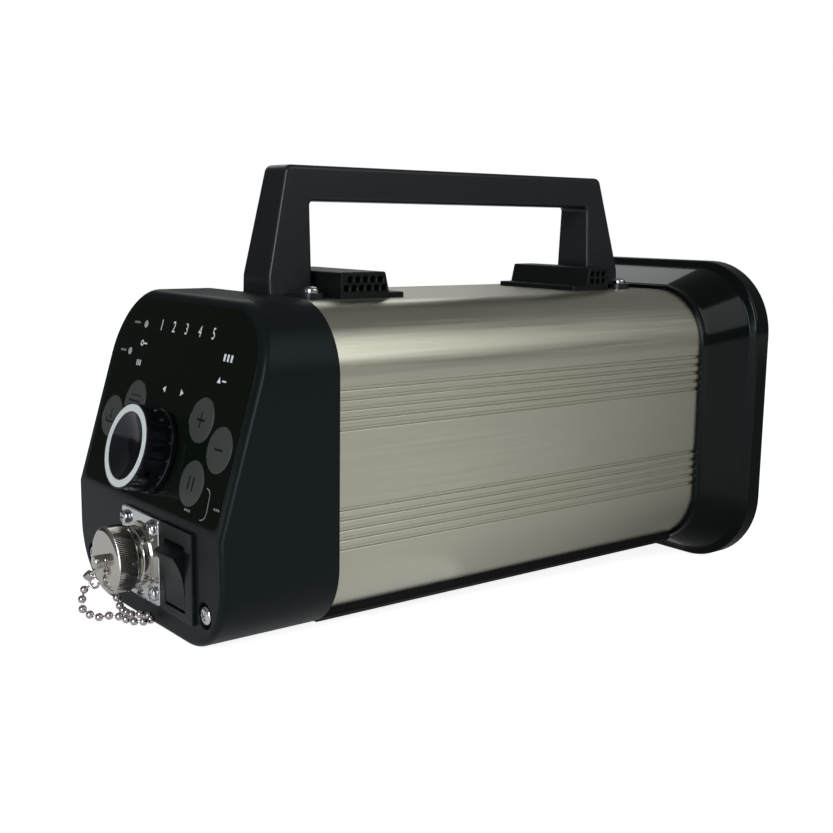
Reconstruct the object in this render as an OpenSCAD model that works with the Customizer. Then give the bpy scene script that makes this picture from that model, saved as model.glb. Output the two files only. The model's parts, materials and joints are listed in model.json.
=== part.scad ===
// Hand-held xenon stroboscope: a square light-alloy extrusion between a moulded
// rear cap, with its slanted control panel, and a flared front hood.
// X runs forward along the lamp, Y to the left and Z up. The origin is the mouth
// of the tripod thread, on the underside of the base plate.

/* [Body extrusion] */
// Width and height of the square extrusion
body_w = 98; // [90:1:110]
// Corner radius of the extrusion
body_r = 21; // [16:0.5:24]
// Length of extrusion that shows between the two end mouldings
body_len = 167; // [150:1:200]
// Wall of the extrusion
wall = 2.2; // [1.6:0.1:3]
// Grooves in each of the two bands on a side
groove_count = 5; // [2:1:6]
// Distance from groove to groove
groove_pitch = 3.05; // [2.4:0.05:3.6]
// Width of a groove at the surface
groove_w = 1.3; // [0.8:0.1:1.6]
// Depth of a groove
groove_d = 0.6; // [0.3:0.1:0.8]
// Height of each band's middle above and below the axis
groove_band = 18.4; // [14:0.2:22]

/* [End mouldings] */
// How far the end mouldings stand out beyond the extrusion
proud = 1.5; // [1:0.1:2.5]
// Length of extrusion gripped by each end moulding
grip = 6; // [4:0.5:9]
// Wall of the end mouldings
shell = 3; // [2.4:0.1:3.6]
// Depth of the rear cap, from its seam to the upright lower face
cap_len = 40; // [36:0.5:46]
// Edge radius round the rear cap's faces
cap_fillet = 3; // [1:0.5:4]
// Height of the ridge where the panel starts to lean, above the base
ridge_h = 35; // [33:0.5:37]
// How far the rear cap's underside stands below the base plate
cap_drop = 1.5; // [0:0.1:3]
// Lean of the control panel from upright
tilt = 16.5; // [12:0.5:19]
// Depth of the bay that holds the connector and the switch
bay_d = 1.6; // [0.8:0.1:2.4]
// Half the width of that bay
bay_half = 36.2; // [35.8:0.1:38]

/* [Front hood] */
// Width and height of the hood's rim
rim_w = 120; // [116:1:128]
// Corner radius of the rim
rim_r = 28; // [24:0.5:32]
// Length of the hood in front of its seam
hood_len = 28; // [26:0.5:34]
// Length of the rim's straight band
rim_len = 7; // [5:0.5:9]
// Flare of the collar before the rim
flare = 5.6; // [3:0.2:6.6]
// Thickness of the clear lens
lens_t = 3; // [2:0.2:4]
// Mouth radius of the reflector
mirror_r = 40; // [34:0.5:42]
// Depth of the reflector bowl
mirror_d = 26; // [20:0.5:30]
// Diameter of the lamp's glass tube
lamp_d = 6; // [4:0.2:8]

/* [Handle] */
// Height of the handle above the body
handle_h = 42.5; // [36:0.5:50]
// Height of the gap under the grip bar
hand_gap = 31; // [26:0.5:34]
// Length of the handle at its feet
handle_len = 162; // [150:1:165]
// Length of the hand gap
gap_len = 128.3; // [118:0.5:130]
// Length of the handle along its top
handle_top_len = 144; // [136:1:150]
// Width of the handle at its feet
handle_w = 18; // [15:0.5:22]
// Width of the handle along its top
handle_top_w = 14; // [12:0.5:16]
// Side distance of the handle's screws from the middle
tab_y = 16; // [14:0.5:18]

/* [Vent covers] */
// Length of a vent cover across the body
vent_w = 42.4; // [38:0.2:44]
// Height of a vent cover
vent_h = 8.6; // [8:0.2:10]
// Width of the rear vent cover's top
rear_vent_l = 17.7; // [17:0.1:19]
// Width of the front vent cover's top
front_vent_l = 10.4; // [10:0.1:11]
// Width of the thin foot in front of a vent cover
vent_foot = 6; // [4:0.2:7]
// Distance from hole to hole
hole_pitch = 3; // [2.9:0.05:3.1]
// Diameter of a vent hole
hole_d = 2.15; // [1.6:0.05:2.3]

/* [Controls] */
// Diameter of the dial knob
knob_d = 26.8; // [22:0.2:28]
// Height of the dial knob
knob_h = 10.4; // [8:0.2:14]
// Height of the knob's centre along the panel, from the ridge
knob_t = 18; // [17:0.2:20]
// Width of the pale ring inlaid round the knob's edge
ring_w = 2.4; // [1.6:0.1:3]
// Depth of the finger dish in the knob
dish_d = 3.8; // [2:0.1:4]
// Diameter of a push button
button_d = 14; // [12:0.1:14.4]
// Travel of a push button
button_travel = 0.4; // [0.2:0.05:0.6]
// Thickness of the panel overlay
overlay_t = 0.6; // [0.4:0.05:0.8]
// Turn of the rocker from side to side
rocker_turn = 20; // [14:1:22]

/* [Connector] */
// Side of the connector's square flange
flange_w = 27.8; // [26.8:0.1:28.4]
// Distance between the flange's screws
flange_pitch = 20.6; // [20:0.1:21.2]
// Thickness of the flange
flange_t = 2; // [1.2:0.1:2.4]
// Radius of the connector's threaded barrel
barrel_r = 8.6; // [8.2:0.1:9]
// Height of the connector above the base
connector_h = 20; // [19.5:0.1:20.5]
// Diameter of the dust cap over its knurl
dust_d = 21; // [20:0.2:22]
// Length of the knurled band
knurl_len = 7.6; // [6:0.2:9]
// Grooves in the knurl
knurl_count = 60; // [40:2:72]
// Diameter of a bead of the chain
bead_d = 2.4; // [2:0.1:2.6]

/* [Base] */
// Half the width of the base plate
base_half = 39; // [36:0.5:41]
// Bevel along the base plate's lower edges
base_bevel = 1.6; // [1:0.2:2.4]
// Major radius of the tripod thread
tripod_r = 3.175; // [3.175, 4.7625]
// Depth of the tripod thread
tripod_depth = 9; // [7:0.5:12]

/* [Hidden] */
$fn = 64;

gap = 0.15;                              // seat clearance between fixed mouldings
run = 0.08;                              // running clearance of a turning part
eps = 0.01;                              // overlap that keeps cuts clean
cap_w = body_w + 2 * proud;
cap_r = body_r + proud;
zc = cap_w / 2;                          // height of the axis
seam = body_len / 2;                     // both seams lie this far from the origin
tube_end = seam + grip;
inner_w = body_w - 2 * wall;
inner_r = body_r - wall;
top_z = zc + body_w / 2;
in_top = zc + inner_w / 2;
in_low = zc - inner_w / 2;
rear_x = -seam - cap_len;
panel_len = (cap_w - ridge_h) / cos(tilt);
port = body_w / 2 - body_r + (inner_r - 2.1) * sin(45);   // screw ports from the axis
port_r = 2;                              // screw port radius
tip = 0.03;                              // play of a screw in its hole

// ---------- shared shapes ----------

module rounded_square(w, r) {
    square([w, w - 2 * r], center = true);
    square([w - 2 * r, w], center = true);
    for (y = [-1, 1], z = [-1, 1]) translate([y, z] * (w / 2 - r)) circle(r);
}

// Puts a flat shape, drawn as (Y, Z), on the axis and sweeps it from x0 to x1.
module along_x(x0, x1, z = zc) {
    translate([x0, 0, z]) rotate([90, 0, 90]) linear_extrude(x1 - x0) children();
}

module square_bar(w, r, x0, x1) along_x(x0, x1) rounded_square(w, r);

// Sweeps a flat shape, drawn as (X, Z), over the width w.
module across_y(w) translate([0, w / 2, 0]) rotate([90, 0, 0]) linear_extrude(w) children();

module rod_x(r, x0, x1, y = 0, z = zc) translate([x0, y, z]) rotate([0, 90, 0]) cylinder(r = r, h = x1 - x0);

// Turns a profile, drawn as (radius, X), round an axis along X.
module turned_x(z = zc) translate([0, 0, z]) rotate([0, 90, 0]) rotate([0, 0, 90]) rotate_extrude() children();

module at_ports(y_signs = [-1, 1], z_signs = [-1, 1])
    for (y = y_signs, z = z_signs) translate([0, y * port, z * port]) children();

// Panel frame: local X climbs the slanted panel, local Z is its outward normal.
module on_panel(y = 0, t = 0, out = 0)
    translate([rear_x, 0, ridge_h]) rotate([0, tilt - 90, 0]) translate([t, y, out]) children();

ring_steps = 10;
function ring(s) = [for (q = [0:3], k = [0:ring_steps])
    let (a = 90 * (q + k / ring_steps), c = s[1] - s[2],
         cy = (q == 0 || q == 3) ? c : -c, cz = q < 2 ? c : -c)
    [s[0], cy + s[2] * cos(a), zc + cz + s[2] * sin(a)]];

// Skin through square sections with round corners, each [x, half width, corner radius].
module loft(sections) {
    n = 4 * (ring_steps + 1);
    last = (len(sections) - 1) * n;
    sides = [for (j = [0:len(sections) - 2], i = [0:n - 1])
        let (a = j * n + i, b = j * n + (i + 1) % n) each [[a, a + n, b + n], [a, b + n, b]]];
    polyhedron([for (s = sections) each ring(s)],
        concat([[for (i = [0:n - 1]) i]], [[for (i = [n - 1:-1:0]) last + i]], sides));
}

module pan_screw(r, head_r, head_h, len) {
    cylinder(r = r, h = len + eps);
    translate([0, 0, len]) intersection() {
        cylinder(r = head_r, h = head_h);
        translate([0, 0, head_h - 1.5 * head_r]) sphere(1.5 * head_r);
    }
}

module cross_slot(r, d) for (a = [0, 90]) rotate(a) translate([-r, -0.35, -d]) cube([2 * r, 0.7, d + 1]);

// ---------- body ----------

rail = 3;                                // how far the board rails stand in
rail_t = 1.8;
board_t = 1.6;
rail_z = in_low + 24;                    // top of the lower rail
slot_play = 0.4;
base_x = seam - 12;                      // base screw positions along the body
handle_rear = -handle_len / 2 - 1.3;
legs_len = handle_len - gap_len;         // both legs together, along the body
rear_leg = 0.487 * legs_len;
front_leg = legs_len - rear_leg;
tab_x = [handle_rear + 0.67 * rear_leg, handle_rear + handle_len - 0.42 * front_leg];
rear_vent_x = handle_rear + rear_leg + 2.8;             // plain sides of the vent covers,
front_vent_x = handle_rear + rear_leg + gap_len - 1.1;  // inside the hand gap
vent_y = vent_w / 2 - 5;
bush_r = 8;

module groove_cuts() {
    for (side = [-1, 1], band = [-1, 1], i = [0:groove_count - 1])
        translate([0, side * body_w / 2, zc + band * groove_band + (i - (groove_count - 1) / 2) * groove_pitch])
            rotate([90, 0, 90]) linear_extrude(2 * tube_end + 2, center = true)
                polygon([[side * 0.2, -groove_w / 2], [side * 0.2, groove_w / 2],
                    [-side * groove_d, groove_w / 4], [-side * groove_d, -groove_w / 4]]);
}

module body_tube() {
    color([0.62, 0.61, 0.54]) difference() {
        union() {
            difference() {
                square_bar(body_w, body_r, -tube_end, tube_end);
                square_bar(inner_w, inner_r, -tube_end - 1, tube_end + 1);
            }
            intersection() {
                square_bar(inner_w + 1, inner_r + 0.5, -tube_end, tube_end);
                at_ports() rod_x(port_r + 1.8, -tube_end, tube_end);
            }
            for (y = [-1, 1], z = [rail_z - rail_t, rail_z + board_t + slot_play])
                translate([-tube_end, y > 0 ? inner_w / 2 - rail : -inner_w / 2 - 1, z])
                    cube([2 * tube_end, rail + 1, rail_t]);
        }
        groove_cuts();
        at_ports() rod_x(port_r, -tube_end - 1, tube_end + 1);
        for (x = tab_x, y = [-tab_y, tab_y]) translate([x, y, in_top - 5]) cylinder(r = 1.5, h = 20);
        vent_slot(rear_vent_x + 3, rear_vent_l - 6);
        vent_slot(front_vent_x - front_vent_l + 2, front_vent_l - 4);
        translate([0, 0, -1]) cylinder(r = bush_r + gap, h = 10);
        for (x = [-base_x, base_x], y = [-1, 1]) translate([x, y * 22, -1]) cylinder(r = 1.5, h = 10);
    }
}

module vent_slot(x, len) translate([x, -vent_y, in_top - 2]) cube([len, 2 * vent_y, wall + 4]);

// The base plate is a cradle: its top follows the extrusion's lower corners.
module base_plate() {
    edge = base_bevel;
    color([0.05, 0.045, 0.04]) difference() {
        translate([-seam + gap, 0, 0]) rotate([90, 0, 90]) linear_extrude(2 * seam - 2 * gap)
            polygon([[-base_half + edge, 0], [base_half - edge, 0], [base_half, edge], [base_half, 7.2],
                [-base_half, 7.2], [-base_half, edge]]);
        square_bar(body_w, body_r, -tube_end, tube_end);
        translate([0, 0, -1]) cylinder(r = bush_r + gap, h = 10);
        for (x = [-base_x, base_x], y = [-22, 22]) translate([x, y, 0]) {
            translate([0, 0, -1]) cylinder(r = 1.6, h = 10);
            translate([0, 0, -eps]) cylinder(r1 = 2.9, r2 = 1.5, h = 1.4);
        }
    }
}

module base_screws() {
    color([0.7, 0.7, 0.68]) for (x = [-base_x, base_x], y = [-22, 22]) translate([x, y, 0]) difference() {
        union() {
            cylinder(r = 1.5 - tip, h = 8);
            translate([0, 0, 0.1]) cylinder(r1 = 2.7, r2 = 1.4, h = 1.2);
        }
        translate([0, 0, 0.5]) rotate([180, 0, 0]) cross_slot(1.6, 0);
    }
}

// Flanged bush: its flange lies inside, on the floor of the extrusion.
module tripod_bush() {
    color([0.75, 0.62, 0.35]) difference() {
        union() {
            cylinder(r = bush_r, h = in_low + eps);
            translate([0, 0, in_low]) cylinder(r = bush_r + 3, h = 2);
            cylinder(r = bush_r - 2, h = tripod_depth + 2);
        }
        translate([0, 0, -1]) cylinder(r = tripod_r, h = tripod_depth + 1);
    }
}

// ---------- handle and vents ----------

edge_r = 3;

module handle_side() {
    front = handle_rear + handle_len;
    top_rear = handle_rear + 7.8;
    gap_x = handle_rear + rear_leg;
    difference() {
        offset(r = edge_r, $fn = 24) offset(delta = -edge_r)
            polygon([[handle_rear, -10], [handle_rear, 7], [top_rear, handle_h],
                [top_rear + handle_top_len, handle_h], [front, 7], [front, -10]]);
        offset(r = 1.5, $fn = 16) offset(delta = -1.5)
            polygon([[gap_x, -20], [gap_x, hand_gap], [gap_x + gap_len, hand_gap], [gap_x + gap_len, -20]]);
        translate([handle_rear - 10, -20]) square([handle_len + 20, 20]);
    }
}

module handle() {
    color([0.08, 0.085, 0.09]) {
        translate([0, 0, top_z]) intersection() {
            across_y(handle_w + 2) handle_side();
            rotate([90, 0, 90]) linear_extrude(2 * seam, center = true)
                polygon([[-handle_w / 2, 0], [handle_w / 2, 0], [handle_w / 2, 5],
                    [handle_top_w / 2, handle_h - 1.4], [handle_top_w / 2 - 1.4, handle_h],
                    [1.4 - handle_top_w / 2, handle_h], [-handle_top_w / 2, handle_h - 1.4], [-handle_w / 2, 5]]);
        }
        for (x = tab_x, side = [-1, 1]) translate([x, 0, top_z]) difference() {
            union() {
                translate([0, side * tab_y, 0]) cylinder(r = 4.2, h = 2);
                translate([-4.2, side > 0 ? handle_w / 2 - 1 : -tab_y, 0])
                    cube([8.4, tab_y - handle_w / 2 + 1, 2]);
            }
            translate([0, side * tab_y, -1]) cylinder(r = 1.6, h = 4);
        }
    }
}

module handle_screws() {
    color([0.78, 0.78, 0.76]) for (x = tab_x, y = [-tab_y, tab_y])
        translate([x, y, top_z - 6]) difference() {
            pan_screw(1.5 - tip, 2.7, 2, 8);
            translate([0, 0, 10.5]) cross_slot(1.7, 1.2);
        }
}

// A vent cover: end faces with rows of holes, one plain and one leaning long side.
// It is drawn with its plain side at x = 0 and its foot towards +X.
module vent_cover(top_l, rows) {
    lean = 2.1;
    skin = 1.2;
    difference() {
        union() {
            across_y(vent_w) polygon([[0, 0], [0, vent_h], [top_l, vent_h], [top_l + lean, 0]]);
            translate([0, -vent_w / 2, 0]) cube([top_l + lean + vent_foot, vent_w, 1.8]);
        }
        across_y(vent_w - 2 * skin)
            polygon([[skin, -1], [skin, vent_h - skin], [top_l - skin, vent_h - skin],
                [top_l + lean - skin, 1.8], [top_l + lean - skin, -1]]);
        for (row = rows, i = [0:row[0] - 1])
            translate([row[1] + i * hole_pitch, 0, row[2]]) rotate([90, 0, 0])
                cylinder(r = hole_d / 2, h = vent_w + 2, center = true, $fn = 24);
    }
}

module rear_vent_cover() {
    color([0.07, 0.085, 0.08]) translate([rear_vent_x, 0, top_z])
        vent_cover(rear_vent_l, [[6, 2.2, 3.3], [5, 3.7, 6.1]]);
}

module front_vent_cover() {
    color([0.07, 0.085, 0.08]) translate([front_vent_x, 0, top_z]) mirror([1, 0, 0])
        vent_cover(front_vent_l, [[3, 2.7, 3.3], [3, 2.7, 6.1]]);
}

// ---------- rear cap ----------

// The cap's outline drawn in by inset, with its rear faces moved in by back.
module cap_shape(inset, back, x1) {
    lean_x = back / cos(tilt);
    low = -cap_drop - 1;
    intersection() {
        along_x(rear_x, x1) for (z = [0, -cap_drop]) translate([0, z]) rounded_square(cap_w - 2 * inset, cap_r - inset);
        across_y(cap_w) polygon([[rear_x + back, low], [rear_x + back, ridge_h - back * tan(tilt / 2)],
            [rear_x + lean_x + (cap_w + 1 - ridge_h) * tan(tilt), cap_w + 1], [x1, cap_w + 1], [x1, low]]);
    }
}

switch_y = -24.9;
switch_w = 21;
switch_h = 28;
switch_in = 1.3;                         // bezel rim round the switch's body
bay_low = 3;
shaft_r = 3;
boss_r = 5;
overlay_y = cap_w / 2 - 4;
overlay_lo = 2;
overlay_hi = panel_len - 3;
button_at = [[23.6 - overlay_y, 31.4], [9.3 - overlay_y, 24.5], [20.3 - overlay_y, 12.6]];
window_y = overlay_y - 24;
window_lo = button_at[0][1] + button_d / 2 + 2.6;
window_hi = panel_len - 14.8;
lamp_at = [[overlay_y - 18.1, panel_len - 11.9], [overlay_y - 11, panel_len - 21.7]];
pocket_d = 2.1;                          // depth of a button's pocket in the cap

// The overlay's outline, drawn as (climb, Y): large corners at the top.
module overlay_outline(grow = 0) {
    big = 19 + grow;
    small = 3 + grow;
    lo = overlay_lo - grow;
    hi = overlay_hi + grow;
    y = overlay_y + grow;
    translate([lo, -y + small]) square([hi - lo - big, 2 * (y - small)]);
    translate([lo + small, -y]) square([hi - lo - big - small, 2 * y]);
    translate([hi - big - 1, -y + big]) square([big + 1, 2 * (y - big)]);
    for (s = [-1, 1]) {
        translate([lo + small, s * (y - small)]) circle(small);
        translate([hi - big, s * (y - big)]) circle(big);
    }
}

module at_buttons() for (s = [1, -1], b = button_at) on_panel(s * b[0], b[1]) children();

module rear_cap() {
    color([0.075, 0.085, 0.085]) difference() {
        union() {
            difference() {
                hull() for (a = [0:18:90])
                    cap_shape(cap_fillet * (1 - sin(a)), cap_fillet * (1 - cos(a)), -seam);
                cap_shape(shell, shell, -seam + 1);
            }
            intersection() {
                cap_shape(1, 1, -tube_end);
                at_ports(z_signs = [-1]) rod_x(boss_r, rear_x, -tube_end);
            }
            translate([-tube_end - 6, -12, in_top - 0.3 - 2]) cube([12, 24, 2]);
            translate([-tube_end - 6, -12, in_top - 0.3 - 2]) cube([6 - eps, 24, shell + 1.5]);
        }
        square_bar(body_w + 2 * gap, body_r + gap, -tube_end, -seam + 1);
        // bay with the connector hole, its screw holes and the switch opening
        translate([rear_x - 1, -bay_half, bay_low]) cube([bay_d + 1, 2 * bay_half, ridge_h - bay_low - 0.4]);
        rod_x(barrel_r + 0.3, rear_x - 1, rear_x + shell + 4, 0, connector_h);
        for (y = [-1, 1], z = [-1, 1])
            rod_x(1.3, rear_x - 1, rear_x + shell + 4, y * flange_pitch / 2, connector_h + z * flange_pitch / 2);
        translate([rear_x - 1, switch_y - switch_w / 2 + switch_in - 0.1, connector_h - switch_h / 2 + switch_in - 0.1])
            cube([cap_len - grip, switch_w - 2 * switch_in + 0.2, switch_h - 2 * switch_in + 0.2]);
        // counterbored cap screws
        at_ports(z_signs = [-1]) {
            rod_x(port_r + 0.1, rear_x - 1, -tube_end + 1);
            rod_x(3.9, rear_x - 1, rear_x + 1.8);
        }
        // slanted panel: overlay recess, shaft, buttons, window and lamps
        on_panel(out = -overlay_t) linear_extrude(2) overlay_outline(0.1);
        on_panel(0, knob_t, -shell - 1) cylinder(r = 4.7, h = shell + 2);
        at_buttons() translate([0, 0, -pocket_d]) cylinder(r = button_d / 2 + 0.2, h = pocket_d + 1);
        on_panel(-window_y + 1.5, window_lo + 1.5, -shell - 1) cube([window_hi - window_lo - 3, 2 * window_y - 3, shell + 2]);
        for (p = lamp_at) on_panel(p[0], p[1], -shell - 1) cylinder(r = 1.6, h = shell + 2);
    }
}

screw_seat = rear_x + 1.8;

module rear_cap_screws() {
    color([0.8, 0.8, 0.78]) at_ports(z_signs = [-1]) difference() {
        union() {
            rod_x(port_r - tip, screw_seat, -tube_end + 10);
            translate([screw_seat, 0, zc]) rotate([0, -90, 0]) intersection() {
                cylinder(r = 3.4, h = 1.9);
                translate([0, 0, -3.4]) sphere(5.3);
            }
        }
        translate([screw_seat - 1.95, 0, zc]) rotate([0, -90, 0]) cross_slot(2, 1.1);
    }
}

module keypad_overlay() {
    color([0.03, 0.04, 0.04]) on_panel(out = -overlay_t) difference() {
        linear_extrude(overlay_t) overlay_outline();
        translate([knob_t, 0, -1]) cylinder(r = 8.4, h = 4);
        for (s = [1, -1], b = button_at) translate([b[1], s * b[0], -1]) cylinder(r = button_d / 2 + 0.2, h = 4);
        translate([window_lo, -window_y, -1]) cube([window_hi - window_lo, 2 * window_y, 4]);
        for (p = lamp_at) translate([p[1], p[0], -1]) cylinder(r = 1.3, h = 4);
    }
}

module display_window() {
    color([0.1, 0.02, 0.02]) on_panel(-window_y + 0.1, window_lo + 0.1, -overlay_t)
        cube([window_hi - window_lo - 0.2, 2 * window_y - 0.2, overlay_t]);
}

module indicator_lamps() {
    color([0.75, 0.78, 0.74]) for (p = lamp_at) {
        on_panel(p[0], p[1], -shell - 5) cylinder(r = 1.5, h = shell + 5 - overlay_t);
        on_panel(p[0], p[1], -overlay_t - eps) cylinder(r = 1.2, h = overlay_t + 0.1);
    }
}

// One push button: a printed key face on a short stem in its pocket.
module push_button(i) {
    s = i < 3 ? 1 : -1;
    b = button_at[i % 3];
    rise = 0.25;
    color([0.42, 0.44, 0.42]) on_panel(s * b[0], b[1], rise) {
        translate([0, 0, -1.5]) cylinder(r = button_d / 2, h = 1.5);
        translate([0, 0, -pocket_d - rise + button_travel + 0.1]) cylinder(r = 3, h = 1);
    }
}

module button_1() push_button(0);
module button_2() push_button(1);
module button_3() push_button(2);
module button_4() push_button(3);
module button_5() push_button(4);
module button_6() push_button(5);

// ---------- dial ----------

knob_out = 0.5;                          // running gap under the knob
ring_d = 1.2;                            // depth of the ring's groove
flutes = 10;

module dial_knob() {
    top = knob_out + knob_h;
    r = knob_d / 2;
    dish_r = r - ring_w - 0.4;
    ball = (dish_r * dish_r + dish_d * dish_d) / (2 * dish_d);
    color([0.05, 0.055, 0.06]) on_panel(0, knob_t, 0) difference() {
        rotate_extrude() polygon([[0, knob_out], [r + 0.6, knob_out], [r + 0.6, knob_out + 1.6],
            [r - 0.3, knob_out + 2.2], [r, top - 0.4], [r - 0.2, top], [0, top]]);
        translate([0, 0, top - dish_d + ball]) sphere(ball);
        difference() {
            translate([0, 0, top - ring_d]) cylinder(r = r - 0.2, h = ring_d + 1);
            translate([0, 0, top - ring_d - 1]) cylinder(r = r - 0.2 - ring_w, h = ring_d + 3);
        }
        for (a = [0:flutes - 1]) rotate(360 / flutes * a) translate([r + 0.25, 0, knob_out + 2.4])
            cylinder(r = 0.9, h = knob_h - 4.4, $fn = 16);
        translate([0, 0, -1]) cylinder(r = 7.4, h = knob_out + 3.2);
        cylinder(r = shaft_r + tip, h = top - dish_d - 1);
    }
}

module knob_ring() {
    top = knob_out + knob_h;
    color([0.66, 0.7, 0.65]) on_panel(0, knob_t, top - ring_d) difference() {
        cylinder(r = knob_d / 2 - 0.2, h = ring_d + 0.1);
        translate([0, 0, -1]) cylinder(r = knob_d / 2 - 0.2 - ring_w, h = 4);
    }
}

module encoder_shaft() {
    color([0.7, 0.7, 0.7]) on_panel(0, knob_t, -shell - 2)
        cylinder(r = shaft_r, h = shell + 2 + knob_out + knob_h - dish_d - 1.1);
}

board_depth = 11;                        // board face below the panel

module encoder_body() {
    color([0.35, 0.4, 0.36]) on_panel(0, knob_t, 0) difference() {
        union() {
            translate([-6.5, -6.5, -board_depth]) cube([13, 13, board_depth - shell]);
            translate([0, 0, -shell - eps]) cylinder(r = 4.5, h = shell + 2);
        }
        translate([0, 0, -shell - 2 - 0.3]) cylinder(r = shaft_r + run, h = 12);
    }
}

module encoder_nut() {
    color([0.72, 0.7, 0.62]) on_panel(0, knob_t, -overlay_t) difference() {
        cylinder(r = 7, h = 2.2, $fn = 6);
        translate([0, 0, -1]) cylinder(r = 4.5 + tip, h = 5);
    }
}

board_half = cap_w / 2 - shell - 6.6;    // half width of the display board
board_lo = 9;
board_hi = panel_len - 4.8;
spacer_at = [for (y = [-1, 1], t = [board_lo + 27, board_hi - 2.6]) [y * (board_half - 5), t]];

module display_board() {
    color([0.05, 0.3, 0.12]) on_panel(0, 0, -board_depth - board_t)
        translate([board_lo, -board_half, 0]) cube([board_hi - board_lo, 2 * board_half, board_t]);
}

module board_spacers() {
    color([0.72, 0.66, 0.5]) for (p = spacer_at) on_panel(p[0], p[1], -board_depth)
        cylinder(r = 2.5, h = board_depth - shell);
}

module digit_display() {
    color([0.15, 0.04, 0.04]) on_panel(0, 0, 0) {
        translate([window_lo + 2, -window_y + 2, -board_depth])
            cube([window_hi - window_lo - 4, 2 * window_y - 4, board_depth - overlay_t - 0.6]);
    }
}

// ---------- connector with its dust cap ----------

flange_x = rear_x + bay_d;               // rear face of the flange
barrel_end = flange_x - flange_t - 10.1;
shoulder_l = 3.4;
cap_out = barrel_end - 1.8;              // outer face of the dust cap
pin_ring = 4;

module connector_shell() {
    h = connector_h;
    color([0.78, 0.78, 0.75]) difference() {
        union() {
            translate([flange_x - flange_t, -flange_w / 2, h - flange_w / 2]) cube([flange_t, flange_w, flange_w]);
            rod_x(barrel_r + 1, flange_x - flange_t - shoulder_l, flange_x, 0, h);
            rod_x(barrel_r - 0.3, barrel_end, flange_x + 10, 0, h);
            for (i = [0:4]) translate([barrel_end + 0.5 + i, 0, h]) rotate([0, 90, 0])
                cylinder(r1 = barrel_r - 0.3, r2 = barrel_r, h = 0.5);
            for (i = [0:4]) translate([barrel_end + 1 + i, 0, h]) rotate([0, 90, 0])
                cylinder(r1 = barrel_r, r2 = barrel_r - 0.3, h = 0.5);
        }
        rod_x(barrel_r - 1.8, barrel_end - 1, flange_x + 11, 0, h);
        for (y = [-1, 1], z = [-1, 1])
            rod_x(1.3, flange_x - flange_t - 1, flange_x + 1, y * flange_pitch / 2, h + z * flange_pitch / 2);
    }
}

module at_pins() for (a = [0:60:300]) translate([0, pin_ring * cos(a), pin_ring * sin(a)]) children();

module connector_insert() {
    color([0.08, 0.08, 0.08]) difference() {
        rod_x(barrel_r - 1.85, barrel_end + 6, flange_x + 9, 0, connector_h);
        at_pins() rod_x(0.8, barrel_end, flange_x + 10, 0, connector_h);
        rod_x(0.8, barrel_end, flange_x + 10, 0, connector_h);
    }
}

module connector_pins() {
    color([0.85, 0.7, 0.35]) {
        at_pins() rod_x(0.78, barrel_end + 1.5, flange_x + 12, 0, connector_h);
        rod_x(0.78, barrel_end + 1.5, flange_x + 12, 0, connector_h);
    }
}

module connector_screws() {
    color([0.8, 0.8, 0.8]) for (y = [-1, 1], z = [-1, 1])
        translate([flange_x + 5, y * flange_pitch / 2, connector_h + z * flange_pitch / 2])
            rotate([0, -90, 0]) difference() {
                pan_screw(1.3 - tip, 2.3, 1.7, 5 + flange_t + ((y > 0 && z < 0) ? 0.6 : 0));
                translate([0, 0, 5 + flange_t + 2]) cross_slot(1.4, 1.1);
            }
}

stud_r = 2.2;
neck_r = 1.4;
stud_len = 5.4;

// Knurled cup with a waisted stud that carries the swivel.
module dust_cap() {
    r = dust_d / 2;
    color([0.72, 0.71, 0.66]) difference() {
        union() {
            translate([cap_out + 0.8, 0, connector_h]) rotate([0, 90, 0]) linear_extrude(knurl_len - 1.6)
                polygon([for (i = [0:2 * knurl_count - 1]) let (a = 180 / knurl_count * i)
                    (r - (i % 2) * 0.35) * [cos(a), sin(a)]]);
            turned_x(connector_h) polygon([[0, cap_out], [r - 0.9, cap_out], [r - 0.3, cap_out + 0.8 + eps],
                [r - 0.6, cap_out + knurl_len], [0, cap_out + knurl_len]]);
            turned_x(connector_h) polygon([[0, cap_out + 1], [neck_r, cap_out + 1], [neck_r, cap_out - 3.4],
                [stud_r, cap_out - 3.4], [stud_r, cap_out - stud_len + 0.4], [stud_r - 0.4, cap_out - stud_len],
                [0, cap_out - stud_len]]);
            turned_x(connector_h) polygon([[0, cap_out + 1], [stud_r, cap_out + 1], [stud_r, cap_out - 1],
                [0, cap_out - 1]]);
        }
        rod_x(barrel_r + run, cap_out + 1.2, cap_out + knurl_len + 1, 0, connector_h);
    }
}

module cap_gasket() {
    color([0.1, 0.1, 0.1]) translate([cap_out + 1.2, 0, connector_h]) rotate([0, 90, 0]) difference() {
        cylinder(r = barrel_r, h = 0.5);
        translate([0, 0, -1]) cylinder(r = barrel_r - 1.8, h = 3);
    }
}

swivel_x = cap_out - 2.2;                // middle of the swivel's eye
clasp = [-139.4, 4.7, 12.9];             // closed end of the swivel, round the first bead

// Eye that turns on the stud, with a strap down to the clasp of the chain.
module cap_swivel() {
    color([0.7, 0.7, 0.66]) {
        translate([swivel_x - 0.6, 0, connector_h]) rotate([0, 90, 0]) difference() {
            cylinder(r = 2.9, h = 1.2);
            translate([0, 0, -1]) cylinder(r = neck_r + run, h = 4);
        }
        hull() {
            translate([swivel_x, 1.3, connector_h - 2.6]) sphere(0.6, $fn = 12);
            translate(clasp) sphere(0.7, $fn = 12);
        }
        translate(clasp) sphere(1.6);
    }
}

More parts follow.
